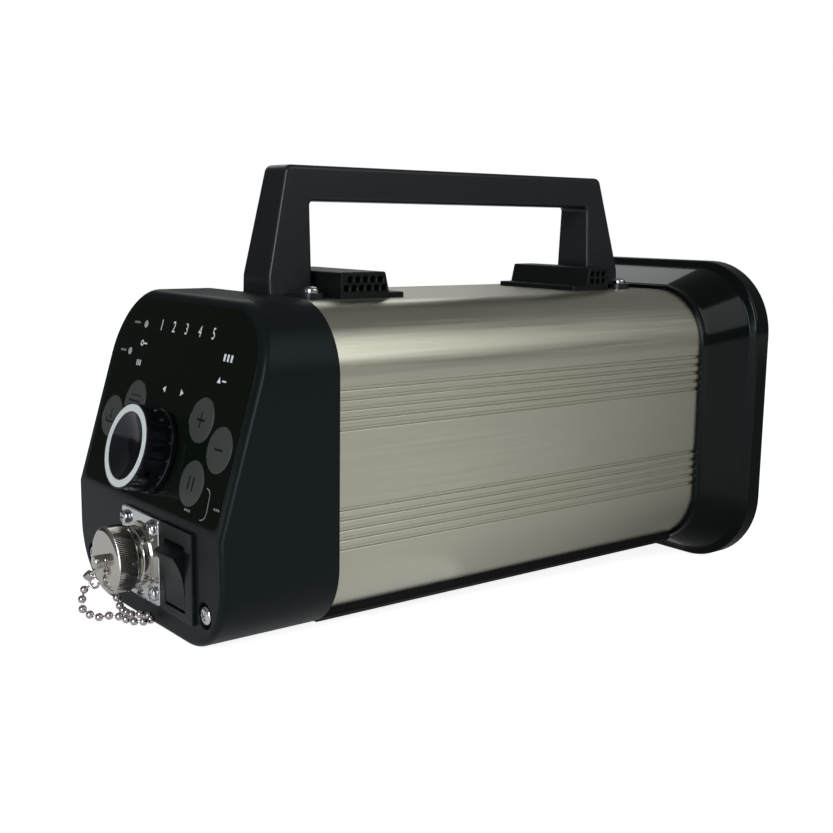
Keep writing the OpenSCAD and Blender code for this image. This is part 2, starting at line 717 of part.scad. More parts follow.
// Route of the chain from the clasp, down to the surface that the lamp stands on,
// round in a loop and up to the eyelet under the connector's lower screw.
chain_route = [[-140.4, 7.2, 9.6], [-141.8, 6, 6.5], [-142, 5, 4], [-140.5, 2.5, 2.6], [-138.5, 0.5, 2.1],
    [-135.5, -1, 2.5], [-133, -3, 2.1], [-132, -6.5, 1.7], [-130, -9.5, 1.6], [-127.5, -10.5, 1.8],
    [-125.4, -9, 1.6], [-125.7, -6.5, 2.2], [-127.5, -4, 2.2], [-129.2, -1.5, 1.7], [-129.3, 2, 1.6],
    [-129, 5.5, 1.6], [-128.6, 8.6, 1.8], [-127, 11.6, 2.2], [-124.8, 10.3, 4.1]];
chain_pitch = 3.1;                       // from bead to bead
link_r = 0.35;

// Distance along the route at each of its points, and the point at a distance.
route_at = [for (i = 0, d = 0; i < len(chain_route);
    d = d + (i < len(chain_route) - 1 ? norm(chain_route[i + 1] - chain_route[i]) : 0), i = i + 1) d];
route_len = route_at[len(route_at) - 1];
function route_point(d) = [for (k = [0:2]) lookup(d, [for (i = [0:len(route_at) - 1]) [route_at[i], chain_route[i][k]]])];

module bead_chain() {
    gaps = round(route_len / chain_pitch);
    beads = [for (i = [0:gaps]) route_point(route_len * i / gaps)];
    color([0.7, 0.66, 0.64]) {
        for (b = beads) translate(b) sphere(bead_d / 2);
        for (i = [0:gaps - 1]) let (d = beads[i + 1] - beads[i])
            translate(beads[i]) rotate([0, acos(d[2] / norm(d)), atan2(d[1], d[0])]) cylinder(r = link_r, h = norm(d));
    }
}

module chain_eyelet() {
    color([0.7, 0.68, 0.64]) translate([flange_x - flange_t, flange_pitch / 2, connector_h - flange_pitch / 2])
        rotate([0, -90, 0]) difference() {
            union() {
                cylinder(r = 2.6, h = 0.6);
                translate([-4.4, -1, 0]) cube([3, 2, 0.6]);
            }
            translate([0, 0, -1]) cylinder(r = 1.35, h = 4);
        }
}

// ---------- mains switch ----------

switch_face = 1.5;                       // bezel above the bay's floor
cavity_w = 15.2;
cavity_h = 20.8;
pivot_r = 1.2;
pivot_x = flange_x + 1;
rocker_w = cavity_w - 0.6;
rocker_half = cavity_h / 2 - 0.6;

module at_switch() translate([0, switch_y, connector_h]) children();

module switch_housing() {
    color([0.06, 0.065, 0.065]) at_switch() difference() {
        union() {
            translate([flange_x - switch_face, -switch_w / 2, -switch_h / 2]) cube([switch_face, switch_w, switch_h]);
            translate([flange_x - eps, -switch_w / 2 + switch_in, -switch_h / 2 + switch_in])
                cube([17, switch_w - 2 * switch_in, switch_h - 2 * switch_in]);
        }
        translate([flange_x - switch_face - 1, -cavity_w / 2, -cavity_h / 2]) cube([switch_face + 10, cavity_w, cavity_h]);
        translate([pivot_x, 0, 0]) rotate([90, 0, 0]) cylinder(r = pivot_r + run, h = cavity_w + 2.4, center = true);
    }
}

// Rocker in its rest state: the upper half is pressed in, the lower half stands out.
module switch_rocker() {
    half = rocker_turn / 2;
    crown = 4.6;
    edge = crown - rocker_half * tan(half);
    color([0.06, 0.065, 0.065]) at_switch() translate([pivot_x, 0, 0]) rotate([0, half, 0]) {
        across_y(rocker_w) polygon([[-crown, 0], [-edge, rocker_half], [2.5, rocker_half - 0.4], [6, 3],
            [6, -3], [2.5, 0.4 - rocker_half], [-edge, -rocker_half]]);
        rotate([90, 0, 0]) cylinder(r = pivot_r, h = cavity_w + 2, center = true);
    }
}

module switch_terminals() {
    color([0.75, 0.65, 0.4]) at_switch() for (y = [-5, 5], z = [-7, 7])
        translate([flange_x + 17 - eps, y - 0.4, z - 2.4]) cube([8, 0.8, 4.8]);
}

// ---------- front hood and lamp ----------

bulk = tube_end;                         // rear face of the hood's inner wall
bulk_t = 4;
rim_x = seam + hood_len;
step_x = rim_x - rim_len - 2.5;
lens_x = step_x;
frame_t = 1.6;
gasket_t = 0.8;
seat_half = rim_w / 2 - 5.5;
seat_r = rim_r - 4.5;

module front_hood() {
    c = cap_w / 2;
    color([0.03, 0.032, 0.032]) difference() {
        loft([[seam, c - 0.6, cap_r - 0.6], [seam + 0.8, c, cap_r], [seam + 3, c + 0.3, cap_r + 0.3],
            [step_x - 2, c + flare, cap_r + flare / 2], [step_x - 0.6, c + flare + 0.8, cap_r + flare / 2 + 0.6],
            [step_x + 0.9, rim_w / 2 - 0.9, rim_r - 0.9], [step_x + 2.5, rim_w / 2, rim_r],
            [rim_x - 1.2, rim_w / 2, rim_r], [rim_x, rim_w / 2 - 1.2, rim_r - 1.2]]);
        square_bar(body_w + 2 * gap, body_r + gap, seam - 1, bulk);
        rod_x(mirror_r + 2, bulk - 1, bulk + bulk_t + 1);
        loft([[bulk + bulk_t, c - shell, cap_r - shell], [lens_x + eps, c + flare - shell - 1.4, cap_r]]);
        loft([[lens_x, seat_half, seat_r], [rim_x + 1, seat_half + 0.6, seat_r + 0.6]]);
        at_ports() {
            rod_x(port_r + 0.1, bulk - 1, bulk + bulk_t + 1);
            rod_x(3.7, bulk + bulk_t, bulk + bulk_t + 5);
        }
    }
}

module hood_screws() {
    color([0.75, 0.75, 0.72]) at_ports() difference() {
        union() {
            rod_x(port_r - tip, bulk - 9, bulk + bulk_t + eps);
            translate([bulk + bulk_t, 0, zc]) rotate([0, 90, 0]) intersection() {
                cylinder(r = 3.4, h = 2.2);
                translate([0, 0, -3.1]) sphere(5.3);
            }
        }
        translate([bulk + bulk_t + 2.25, 0, zc]) rotate([0, 90, 0]) cross_slot(2, 1.3);
    }
}

// Parabolic bowl with a flat flange that lies on the hood's inner wall.
mirror_t = 1;
mirror_x = bulk + bulk_t;
neck = 9;
mirror_f = mirror_r * mirror_r / (4 * mirror_d);
function bowl(r) = mirror_x - mirror_d + r * r / (4 * mirror_f);

module reflector() {
    steps = 12;
    radii = [for (i = [0:steps]) neck + (mirror_r - neck) * i / steps];
    color([0.86, 0.87, 0.88]) turned_x()
        polygon(concat([for (r = radii) [r, bowl(r)]], [[mirror_r, mirror_x + mirror_t],
            [mirror_r + 4, mirror_x + mirror_t], [mirror_r + 4, mirror_x], [mirror_r + mirror_t, mirror_x]],
            [for (i = [steps:-1:0]) [radii[i] + (i > 0 ? 0.4 : 0), bowl(radii[i]) - mirror_t]]));
}

socket_l = 16;

module tube_socket() {
    back = bowl(neck) - mirror_t;
    color([0.9, 0.88, 0.82]) difference() {
        union() {
            rod_x(13, back - socket_l, back);
            rod_x(neck - 0.1, back - eps, back + mirror_t + 2);
        }
        for (y = [-1, 1]) rod_x(lamp_d / 2 + 0.1, back - 6, back + 4, y * lamp_r);
    }
}

lamp_r = 5;

// U-shaped lamp tube: two straight legs joined by a half turn.
module flash_tube() {
    back = bowl(neck) - mirror_t;
    legs = 19;
    color([0.9, 0.92, 0.95, 0.5]) {
        for (y = [-1, 1]) rod_x(lamp_d / 2, back - 6, back + legs, y * lamp_r);
        translate([back + legs, 0, zc]) rotate([0, 0, -90]) rotate_extrude(angle = 180)
            translate([lamp_r, 0]) circle(lamp_d / 2);
    }
}

module lens_gasket() {
    color([0.08, 0.08, 0.08]) difference() {
        square_bar(2 * seat_half - 0.4, seat_r - 0.2, lens_x, lens_x + gasket_t);
        square_bar(2 * seat_half - 7, seat_r - 3.5, lens_x - 1, lens_x + 2);
    }
}

module lens() {
    color([0.85, 0.9, 0.92, 0.4])
        square_bar(2 * seat_half - 0.4, seat_r - 0.2, lens_x + gasket_t, lens_x + gasket_t + lens_t);
}

module lens_frame() {
    x = lens_x + gasket_t + lens_t;
    color([0.04, 0.04, 0.04]) difference() {
        square_bar(2 * seat_half - 0.2, seat_r - 0.1, x, x + frame_t);
        square_bar(2 * seat_half - 10, seat_r - 5, x - 1, x + frame_t + 1);
    }
}

// ---------- electronics ----------

board_z = rail_z;
deck = board_z + board_t;
inside_x = seam - 17.5;                  // where the inner pieces start, behind the middle
half_in = inner_w / 2;

module power_board() {
    color([0.06, 0.32, 0.14]) translate([-seam + 13.5, -half_in + 0.3, board_z])
        cube([0.67 * body_len, inner_w - 0.6, board_t]);
}

module transformer() {
    l = 32;
    w = half_in - 19.8;
    h = 22;
    color([0.3, 0.28, 0.26]) translate([-inside_x + 12, -half_in + 12.8, deck]) {
        cube([l, w, h]);
        translate([5, -3, 2]) cube([l - 10, w + 6, h - 5]);
    }
}

module trigger_coil() {
    r = 9;
    h = 20;
    color([0.62, 0.4, 0.18]) translate([26, -half_in + 26.8, deck]) {
        cylinder(r = r, h = 2);
        cylinder(r = r - 2, h = h);
        translate([0, 0, h - 2]) cylinder(r = r, h = 2);
    }
}

can_r = 14;
can_l = 50;

module main_capacitors() {
    y = half_in - can_r - 10.8;
    color([0.12, 0.16, 0.32]) for (x = [-inside_x, -inside_x + can_l + 4]) {
        rod_x(can_r, x, x + can_l, y, deck + can_r);
        translate([x + 2, y - 4, deck]) cube([can_l - 4, 8, 3]);
    }
}

module battery_pack() {
    r = 8.5;
    pitch = 2 * r - 0.6;
    tray = 25;
    color([0.2, 0.35, 0.5]) translate([-inside_x, 0, in_low]) {
        for (i = [-1.5:1.5]) translate([0, i * pitch, r]) rotate([0, 90, 0]) cylinder(r = r, h = 6 * r);
        translate([2, -tray, 0]) cube([6 * r - 4, 2 * tray, 3]);
    }
}

body_tube();
rear_cap();
front_hood();
base_plate();
base_screws();
tripod_bush();
handle();
handle_screws();
rear_vent_cover();
front_vent_cover();
keypad_overlay();
display_window();
indicator_lamps();
button_1();
button_2();
button_3();
button_4();
button_5();
button_6();
dial_knob();
knob_ring();
encoder_shaft();
encoder_body();
encoder_nut();
display_board();
board_spacers();
digit_display();
connector_shell();
connector_insert();
connector_pins();
connector_screws();
dust_cap();
cap_gasket();
cap_swivel();
bead_chain();
chain_eyelet();
switch_housing();
switch_rocker();
switch_terminals();
rear_cap_screws();
hood_screws();
reflector();
tube_socket();
flash_tube();
lens_gasket();
lens();
lens_frame();
power_board();
transformer();
trigger_coil();
main_capacitors();
battery_pack();
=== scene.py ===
"""Looks of a hand-held xenon stroboscope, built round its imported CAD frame.

Shapes are written in millimetres in the shared frame (+X forward along the beam,
+Y to the lamp's left, +Z up) and turned into metres when a mesh is made.
"""
import json
import math

import bmesh
import bpy
from mathutils import Matrix, Vector


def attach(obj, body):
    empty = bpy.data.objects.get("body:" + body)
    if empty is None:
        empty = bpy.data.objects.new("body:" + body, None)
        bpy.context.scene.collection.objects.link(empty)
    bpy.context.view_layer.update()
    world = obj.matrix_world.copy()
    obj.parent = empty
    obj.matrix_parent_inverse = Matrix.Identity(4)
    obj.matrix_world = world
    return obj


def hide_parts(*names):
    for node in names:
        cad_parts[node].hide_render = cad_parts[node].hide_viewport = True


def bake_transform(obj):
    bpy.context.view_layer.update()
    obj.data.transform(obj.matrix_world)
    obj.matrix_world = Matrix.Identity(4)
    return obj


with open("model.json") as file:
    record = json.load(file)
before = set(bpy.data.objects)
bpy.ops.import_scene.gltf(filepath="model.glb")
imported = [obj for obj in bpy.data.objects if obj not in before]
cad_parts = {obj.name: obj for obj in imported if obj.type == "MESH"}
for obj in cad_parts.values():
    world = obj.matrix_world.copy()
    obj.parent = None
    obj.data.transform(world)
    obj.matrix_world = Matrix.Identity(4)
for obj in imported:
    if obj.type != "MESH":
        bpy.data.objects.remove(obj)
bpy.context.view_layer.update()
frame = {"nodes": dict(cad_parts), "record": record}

MM = 0.001
WELD = 2e-7  # m, points this close are one
scene = bpy.context.scene
nodes = frame["nodes"]

# ---------------- sizes of the solids, mm; fillet, flange and switch are nearer to the photo

BODY_W, BODY_R, WALL = 98.0, 21.0, 2.2
# where the mouldings end, how far the tube goes in, their wall, their play round the tube
SEAM, GRIP, SHELL, GAP = 83.5, 6.0, 3.0, 0.15
CAP_W, CAP_R, CAP_LEN, CAP_FILLET, CAP_DROP = 101.0, 22.5, 40.0, 2.0, 1.5
ZC = CAP_W / 2
TOP_Z = ZC + BODY_W / 2
TUBE_END = SEAM + GRIP
REAR_X = -SEAM - CAP_LEN
RIDGE_H, TILT = 35.0, math.radians(16.5)
PANEL_LEN = (CAP_W - RIDGE_H) / math.cos(TILT)
OVERLAY_T, OVERLAY_Y = 0.6, CAP_W / 2 - 4
PORT = 39.8  # from the middle out to the corner screws, both ways
CONN_H = 20.0  # height of the socket and of the switch
FLANGE_X, FLANGE_T = REAR_X + 0.1, 1.3  # the flange and the switch stand on the flat rear face
KNOB_T, KNOB_R, KNOB_H, KNOB_OUT = 18.0, 13.4, 10.4, 0.5
RING_W, DISH_D = 2.4, 3.8
BUTTON_R = 7.0
BUTTON_AT = [(23.6 - OVERLAY_Y, 31.4), (9.3 - OVERLAY_Y, 24.5), (20.3 - OVERLAY_Y, 12.6)]
WINDOW_Y, WINDOW_LO, WINDOW_HI = OVERLAY_Y - 24, BUTTON_AT[0][1] + BUTTON_R + 2.6, PANEL_LEN - 14.8
LAMP_AT = [(OVERLAY_Y - 18.1, PANEL_LEN - 11.9), (OVERLAY_Y - 11, PANEL_LEN - 21.7)]
SWITCH_Y = -23.9

# ---------------- mesh helpers


def frame_at(origin, x_dir, y_dir):
    """Matrix from a local frame, in mm, to the shared frame."""
    x, y = Vector(x_dir).normalized(), Vector(y_dir).normalized()
    z = x.cross(y)
    m = Matrix((x, y, z)).transposed().to_4x4()
    m.translation = Vector(origin)
    return m


PANEL = frame_at((REAR_X, 0, RIDGE_H), (math.sin(TILT), 0, math.cos(TILT)), (0, 1, 0))
UPRIGHT = Matrix.Identity(4)


def backward(x, y, z):
    """Local Z points out of the rear face."""
    return frame_at((x, y, z), (0, -1, 0), (0, 0, 1))


def forward(x, y, z):
    """Local Z points along the beam."""
    return frame_at((x, y, z), (0, 1, 0), (0, 0, 1))


def on_panel(t, y, out=0.0):
    """Local Z points out of the panel, at t up its slope from the ridge."""
    return PANEL @ Matrix.Translation((t, y, out))


def round_off(points, radius, steps=4, closed=True):
    """The polyline with each corner turned into an arc; radius is one number or one a point."""
    pts = [Vector(p) for p in points]
    n = len(pts)
    out = []
    for i, p in enumerate(pts):
        r = radius[i] if hasattr(radius, "__len__") else radius
        if r <= 0 or (not closed and i in (0, n - 1)):
            out.append(p)
            continue
        a, b = pts[i - 1] - p, pts[(i + 1) % n] - p
        la, lb = a.length, b.length
        a.normalize(), b.normalize()
        half = math.acos(max(-1, min(1, a.dot(b)))) / 2
        if half < 0.02 or half > 1.55:  # folded back or straight
            out.append(p)
            continue
        reach = min(r / math.tan(half), 0.49 * la, 0.49 * lb)
        w = math.sin(half)
        s, e = p + a * reach, p + b * reach
        for k in range(steps + 1):
            t = k / steps
            q, m, o = (1 - t) ** 2, 2 * t * (1 - t) * w, t * t
            out.append((s * q + p * m + e * o) / (q + m + o))
    return out


def square_outline(w, r, steps=14):
    """Rounded square about the origin, counter-clockwise."""
    c = w / 2 - r
    out = []
    for q, (sx, sy) in enumerate(((1, 1), (-1, 1), (-1, -1), (1, -1))):
        for k in range(steps + 1):
            a = math.radians(90 * (q + k / steps))
            out.append(Vector((sx * c + r * math.cos(a), sy * c + r * math.sin(a))))
    return out


def circle_outline(r, n):
    angles = [2 * math.pi * i / n for i in range(n)]
    return [Vector((r * math.cos(a), r * math.sin(a))) for a in angles]


def rect_outline(x0, x1, y0, y1, r=0.0, steps=5):
    pts = [(x0, y0), (x1, y0), (x1, y1), (x0, y1)]
    return round_off(pts, r, steps) if r > 0 else [Vector(p) for p in pts]


def inset(outline, d):
    """A closed outline moved inwards by d, corner by corner."""
    n = len(outline)
    area = sum(outline[i - 1].x * outline[i].y - outline[i].x * outline[i - 1].y for i in range(n))
    s = 1 if area > 0 else -1
    out = []
    for i in range(n):
        a = outline[i] - outline[i - 1]
        b = outline[(i + 1) % n] - outline[i]
        a = a.normalized() if a.length > 1e-9 else b.normalized()
        b = b.normalized() if b.length > 1e-9 else a
        na, nb = Vector((-a.y, a.x)) * s, Vector((-b.y, b.x)) * s
        m = na + nb
        m = m / max(m.length, 1e-9)
        out.append(outline[i] + m * d / max(0.3, m.dot(na)))
    return out


class Shape:
    """Points and faces of one piece, in mm."""

    def __init__(self):
        self.v, self.f = [], []

    def rings(self, rings, caps=(True, True), loop=False):
        """Skin through rings of points of one length; loop joins the last to the first."""
        n, base = len(rings[0]), len(self.v)
        for ring in rings:
            self.v += [Vector(p) for p in ring]
        last = len(rings) - 1
        for j in range(len(rings) if loop else last):
            k = (j + 1) % len(rings)
            for i in range(n):
                i2 = (i + 1) % n
                self.f.append((base + j * n + i, base + j * n + i2, base + k * n + i2, base + k * n + i))
        if not loop and caps[0]:
            self.f.append(tuple(base + i for i in reversed(range(n))))
        if not loop and caps[1]:
            self.f.append(tuple(base + last * n + i for i in range(n)))
        return self

    def add(self, other, matrix=UPRIGHT):
        base = len(self.v)
        self.v += [matrix @ Vector(p) for p in other.v]
        self.f += [tuple(base + i for i in f) for f in other.f]
        return self

    def moved(self, matrix):
        self.v = [matrix @ p for p in self.v]
        return self


def lathe(profile, n=96, flute=None):
    """Profile of (radius, height) turned round local Z; flute(angle, k) moves the radius of point k."""
    angles = [2 * math.pi * i / n for i in range(n)]
    rings = []
    for k, (r, z) in enumerate(profile):
        radii = [max(r, 1e-4) + (flute(a, k) if flute else 0) for a in angles]
        rings.append([Vector((q * math.cos(a), q * math.sin(a), z)) for q, a in zip(radii, angles)])
    closed = profile[0][0] > 1e-3 and profile[-1][0] > 1e-3
    return Shape().rings(rings, loop=closed)


def prism(outline, z0, z1, soft0=0.0, soft1=0.0, steps=3):
    """Outline (x, y) raised from z0 to z1, with its end edges rounded by soft0 and soft1."""
    rings = []
    for k in range(steps + 1 if soft0 > 0 else 1):
        a = math.pi / 2 * k / steps if soft0 > 0 else math.pi / 2
        d = soft0 * (1 - math.sin(a))
        rings.append([(p.x, p.y, z0 + soft0 * (1 - math.cos(a))) for p in inset(outline, d)])
    for k in range(steps + 1 if soft1 > 0 else 1):
        a = math.pi / 2 * k / steps if soft1 > 0 else 0.0
        d = soft1 * (1 - math.cos(a))
        rings.append([(p.x, p.y, z1 - soft1 * (1 - math.sin(a))) for p in inset(outline, d)])
    return Shape().rings(rings)


def tube_along(points, r, n=10):
    """Round wire through points."""
    pts = [Vector(p) for p in points]
    rings, up = [], Vector((0.3, 0.2, 1)).normalized()
    for i, p in enumerate(pts):
        d = (pts[min(i + 1, len(pts) - 1)] - pts[max(i - 1, 0)]).normalized()
        side = d.cross(up)
        side = side.normalized() if side.length > 1e-6 else Vector((1, 0, 0))
        up = side.cross(d).normalized()
        rings.append([p + (side * math.cos(2 * math.pi * k / n) + up * math.sin(2 * math.pi * k / n)) * r
                      for k in range(n)])
    return Shape().rings(rings)


def mesh_object(name, shape):
    mesh = bpy.data.meshes.new(name)
    mesh.from_pydata([tuple(p * MM) for p in shape.v], [], shape.f)
    bm = bmesh.new()
    bm.from_mesh(mesh)
    bmesh.ops.remove_doubles(bm, verts=bm.verts, dist=WELD)
    bmesh.ops.recalc_face_normals(bm, faces=bm.faces)
    bm.to_mesh(mesh)
    bm.free()
    ob = bpy.data.objects.new(name, mesh)
    scene.collection.objects.link(ob)
    return ob


def carve(ob, cutters):
    """Cuts shapes out of an object and keeps the result as its mesh."""
    made = [mesh_object("cutter", c) for c in cutters]
    for cutter in made:
        mod = ob.modifiers.new("carve", "BOOLEAN")
        mod.operation, mod.solver, mod.object = "DIFFERENCE", "EXACT", cutter
    bpy.context.view_layer.update()
    graph = bpy.context.evaluated_depsgraph_get()
    mesh = bpy.data.meshes.new_from_object(ob.evaluated_get(graph))
    ob.modifiers.clear()
    ob.data = mesh
    for cutter in made:
        bpy.data.objects.remove(cutter)
    return ob


def dress(ob, slot, body="body", stands_for=(), angle=30, weighted=True):
    """Shading, finish, body and the CAD nodes that the piece stands for."""
    mesh = ob.data
    mesh.materials.clear()
    mesh.materials.append(FINISH[slot])
    if angle:
        mesh.shade_smooth()
        mesh.set_sharp_from_angle(angle=math.radians(angle))
    else:
        mesh.shade_flat()
    if weighted:
        mod = ob.modifiers.new("flat faces", "WEIGHTED_NORMAL")
        mod.keep_sharp, mod.weight, mod.mode = True, 50, "FACE_AREA"
    if body:
        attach(ob, body)
    if stands_for:
        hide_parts(*stands_for)
    return ob


def piece(name, shape, slot, body="body", stands_for=(), angle=30, weighted=True, cut=()):
    """A dressed object from a shape, less the shapes in cut."""
    ob = mesh_object(name, shape)
    if cut:
        carve(ob, cut)
    return dress(ob, slot, body, stands_for, angle, weighted)


# ---------------- finishes

GRAIN_DEPTH, COAT_ROUGH = 0.0002, 0.1


def finish(name, color, rough, metal=0.0, spec=0.5, coat=0.0, vary=0.08, rough_vary=0.05, grain=(1800.0, 0.06),
           stretch=(1, 1, 1), patch=35.0, transmission=0.0, ior=1.45, tint=(1, 1, 1)):
    """Principled finish with patchy colour, uneven gloss and a fine surface grain.

    patch is the scale of the colour's patches, grain the (scale, bump strength) of the fine noise
    that also drives the gloss, stretch the scaling of its coordinates.
    """
    mat = bpy.data.materials.new(name)
    mat.use_nodes = True
    tree = mat.node_tree
    shader = tree.nodes["Principled BSDF"]
    coords = tree.nodes.new("ShaderNodeTexCoord")
    mapping = tree.nodes.new("ShaderNodeMapping")
    mapping.inputs["Scale"].default_value = stretch
    tree.links.new(coords.outputs["Object"], mapping.inputs["Vector"])

    def noise_at(scale, detail, vector):
        n = tree.nodes.new("ShaderNodeTexNoise")
        n.inputs["Scale"].default_value = scale
        n.inputs["Detail"].default_value = detail
        tree.links.new(vector, n.inputs["Vector"])
        return n.outputs["Fac"]

    patches = noise_at(patch, 3.0, coords.outputs["Object"])
    fine = noise_at(grain[0], 2.0, mapping.outputs["Vector"])
    mix = tree.nodes.new("ShaderNodeMix")
    mix.data_type = "RGBA"
    mix.inputs["A"].default_value = (*[c * (1 - vary) for c in color], 1)
    mix.inputs["B"].default_value = (*[min(1.0, c * (1 + vary)) for c in color], 1)
    tree.links.new(patches, mix.inputs["Factor"])
    tree.links.new(mix.outputs["Result"], shader.inputs["Base Color"])
    gloss = tree.nodes.new("ShaderNodeMapRange")
    gloss.inputs["From Min"].default_value = 0.3
    gloss.inputs["From Max"].default_value = 0.7
    gloss.inputs["To Min"].default_value = max(0.02, rough - rough_vary)
    gloss.inputs["To Max"].default_value = min(1.0, rough + rough_vary)
    tree.links.new(fine, gloss.inputs["Value"])
    tree.links.new(gloss.outputs["Result"], shader.inputs["Roughness"])
    bump = tree.nodes.new("ShaderNodeBump")
    bump.inputs["Strength"].default_value = grain[1]
    bump.inputs["Distance"].default_value = GRAIN_DEPTH
    tree.links.new(fine, bump.inputs["Height"])
    tree.links.new(bump.outputs["Normal"], shader.inputs["Normal"])
    for key, value in (("Metallic", metal), ("Specular IOR Level", spec), ("Coat Weight", coat),
                       ("Coat Roughness", COAT_ROUGH), ("Transmission Weight", transmission), ("IOR", ior)):
        shader.inputs[key].default_value = value
    shader.inputs["Specular Tint"].default_value = (*tint, 1)
    return mat


LOOKS = {  # slot: (colour, roughness, the rest)
    "anodised_body": ((0.60, 0.595, 0.49), 0.33,
                      dict(metal=1.0, vary=0.03, grain=(900.0, 0.12), stretch=(0.02, 1, 1))),
    "cap_black": ((0.0072, 0.0100, 0.0098), 0.36,
                  dict(spec=0.16, grain=(2600.0, 0.012), rough_vary=0.02, tint=(0.82, 1.0, 0.96))),
    "hood_black": ((0.0018, 0.0026, 0.0025), 0.13,
                   dict(spec=0.28, grain=(1500.0, 0.01), rough_vary=0.02, tint=(0.85, 1.0, 0.96))),
    "handle_black": ((0.0130, 0.0146, 0.0160), 0.30, dict(spec=0.42, grain=(2200.0, 0.015), rough_vary=0.03)),
    "base_black": ((0.0050, 0.0046, 0.0040), 0.55, dict(spec=0.15, grain=(1800.0, 0.03))),
    "vent_black": ((0.0070, 0.0085, 0.0078), 0.36, dict(spec=0.20, grain=(2200.0, 0.03), rough_vary=0.03)),
    "overlay_black": ((0.0045, 0.0075, 0.0047), 0.12,
                      dict(spec=0.24, grain=(5200.0, 0.003), rough_vary=0.01, tint=(0.85, 1.0, 0.85))),
    "window_smoke": ((0.0045, 0.0073, 0.0047), 0.12,
                     dict(spec=0.24, grain=(1500.0, 0.003), rough_vary=0.01, tint=(0.85, 1.0, 0.85))),
    "lamp_white": ((0.42, 0.43, 0.40), 0.35, dict(vary=0.05)),
    "key_grey": ((0.060, 0.067, 0.060), 0.42, dict(spec=0.30, grain=(4200.0, 0.02), vary=0.04, rough_vary=0.03)),
    "knob_black": ((0.0030, 0.0034, 0.0050), 0.16,
                   dict(spec=0.75, grain=(2600.0, 0.004), rough_vary=0.01, tint=(0.84, 0.88, 1.0))),
    "ring_grey": ((0.80, 0.84, 0.79), 0.42, dict(spec=0.40, vary=0.04)),
    "nickel": ((0.62, 0.60, 0.545), 0.13, dict(metal=1.0, vary=0.03, grain=(1400.0, 0.006), rough_vary=0.02)),
    "screw_chrome": ((0.72, 0.74, 0.75), 0.10, dict(metal=1.0, vary=0.03, grain=(2000.0, 0.01), rough_vary=0.02)),
    "chain_nickel": ((0.64, 0.59, 0.58), 0.11,
                     dict(metal=1.0, vary=0.06, patch=180.0, grain=(1400.0, 0.01), rough_vary=0.02)),
    "switch_black": ((0.0050, 0.0066, 0.0070), 0.33,
                     dict(spec=0.30, grain=(2400.0, 0.012), rough_vary=0.02, tint=(0.88, 1.0, 1.0))),
    "rubber_black": ((0.02, 0.02, 0.02), 0.7, {}),
    "insulator_black": ((0.018, 0.018, 0.018), 0.45, {}),
    "contact_gold": ((0.80, 0.60, 0.28), 0.22, dict(metal=1.0)),
    "bush_brass": ((0.66, 0.50, 0.24), 0.28, dict(metal=1.0, grain=(1600.0, 0.05))),
    "mirror_alu": ((0.86, 0.87, 0.88), 0.08, dict(metal=1.0, vary=0.02, grain=(700.0, 0.03), rough_vary=0.03)),
    "socket_white": ((0.74, 0.72, 0.66), 0.55, dict(spec=0.3)),
    "tube_glass": ((0.93, 0.95, 0.97), 0.06, dict(transmission=0.85, vary=0.02, rough_vary=0.03)),
    "lens_clear": ((0.97, 0.985, 0.985), 0.03,
                   dict(transmission=1.0, ior=1.49, vary=0.01, rough_vary=0.01, grain=(300.0, 0.01))),
    "board_green": ((0.02, 0.12, 0.05), 0.40, dict(coat=0.4)),
    "parts_dark": ((0.10, 0.09, 0.08), 0.55, {}),
    "coil_copper": ((0.62, 0.33, 0.14), 0.35, dict(metal=1.0, stretch=(1, 1, 6))),
    "can_blue": ((0.03, 0.05, 0.18), 0.32, dict(coat=0.3)),
    "cell_blue": ((0.05, 0.12, 0.25), 0.35, dict(coat=0.2)),
    "print_white": ((0.86, 0.88, 0.86), 0.55, dict(spec=0.2, vary=0.06, patch=900.0)),
    "print_dim": ((0.30, 0.31, 0.30), 0.55, dict(spec=0.2, vary=0.12, patch=900.0)),
    "print_black": ((0.006, 0.007, 0.007), 0.5, dict(spec=0.2)),
}
FINISH = {slot: finish(slot, color, rough, **rest) for slot, (color, rough, rest) in LOOKS.items()}

# the solids that stay visible take the finish of their slot
for row in frame["record"]["subparts"]:
    mesh = nodes[row["node"]].data
    mesh.materials.clear()
    mesh.materials.append(FINISH[row["material_slot"]])
    mesh.shade_smooth()
    mesh.set_sharp_from_angle(angle=math.radians(28))

# ---------------- camera, floor and light

CAM_AT = (-0.28009, -0.33697, 0.12490)  # m
CAM_RIGHT, CAM_UP = (0.7874, -0.6163, 0.0142), (0.0895, 0.1371, 0.9865)
FOCAL_PX, PICTURE_PX, SENSOR = 1187.87, 833, 36.0

cam = bpy.data.objects.new("camera", bpy.data.cameras.new("camera"))
scene.collection.objects.link(cam)
right = Vector(CAM_RIGHT).normalized()
back = right.cross(Vector(CAM_UP)).normalized()
up = back.cross(right)
cam.matrix_world = Matrix.Translation(CAM_AT) @ Matrix((right, up, back)).transposed().to_4x4()
cam.data.sensor_width = SENSOR
cam.data.lens = FOCAL_PX / PICTURE_PX * SENSOR
cam.data.clip_start, cam.data.clip_end = 0.02, 30.0
scene.camera = cam
scene.view_settings.view_transform = "Standard"

# The lamp rests on the rear cap's lower edge and the hood's rim, so the floor falls towards the front.
FLOOR_SLOPE, FLOOR_CLEAR = 0.0346, 0.03
FLOOR_HALF = 4.0  # m
FLOOR_GREY, FLOOR_SEEN, FLOOR_GLOSSY = 0.80, 0.88, 0.25


def floor_z(x):
    return -CAP_DROP - FLOOR_CLEAR + FLOOR_SLOPE * (REAR_X + CAP_FILLET - x)


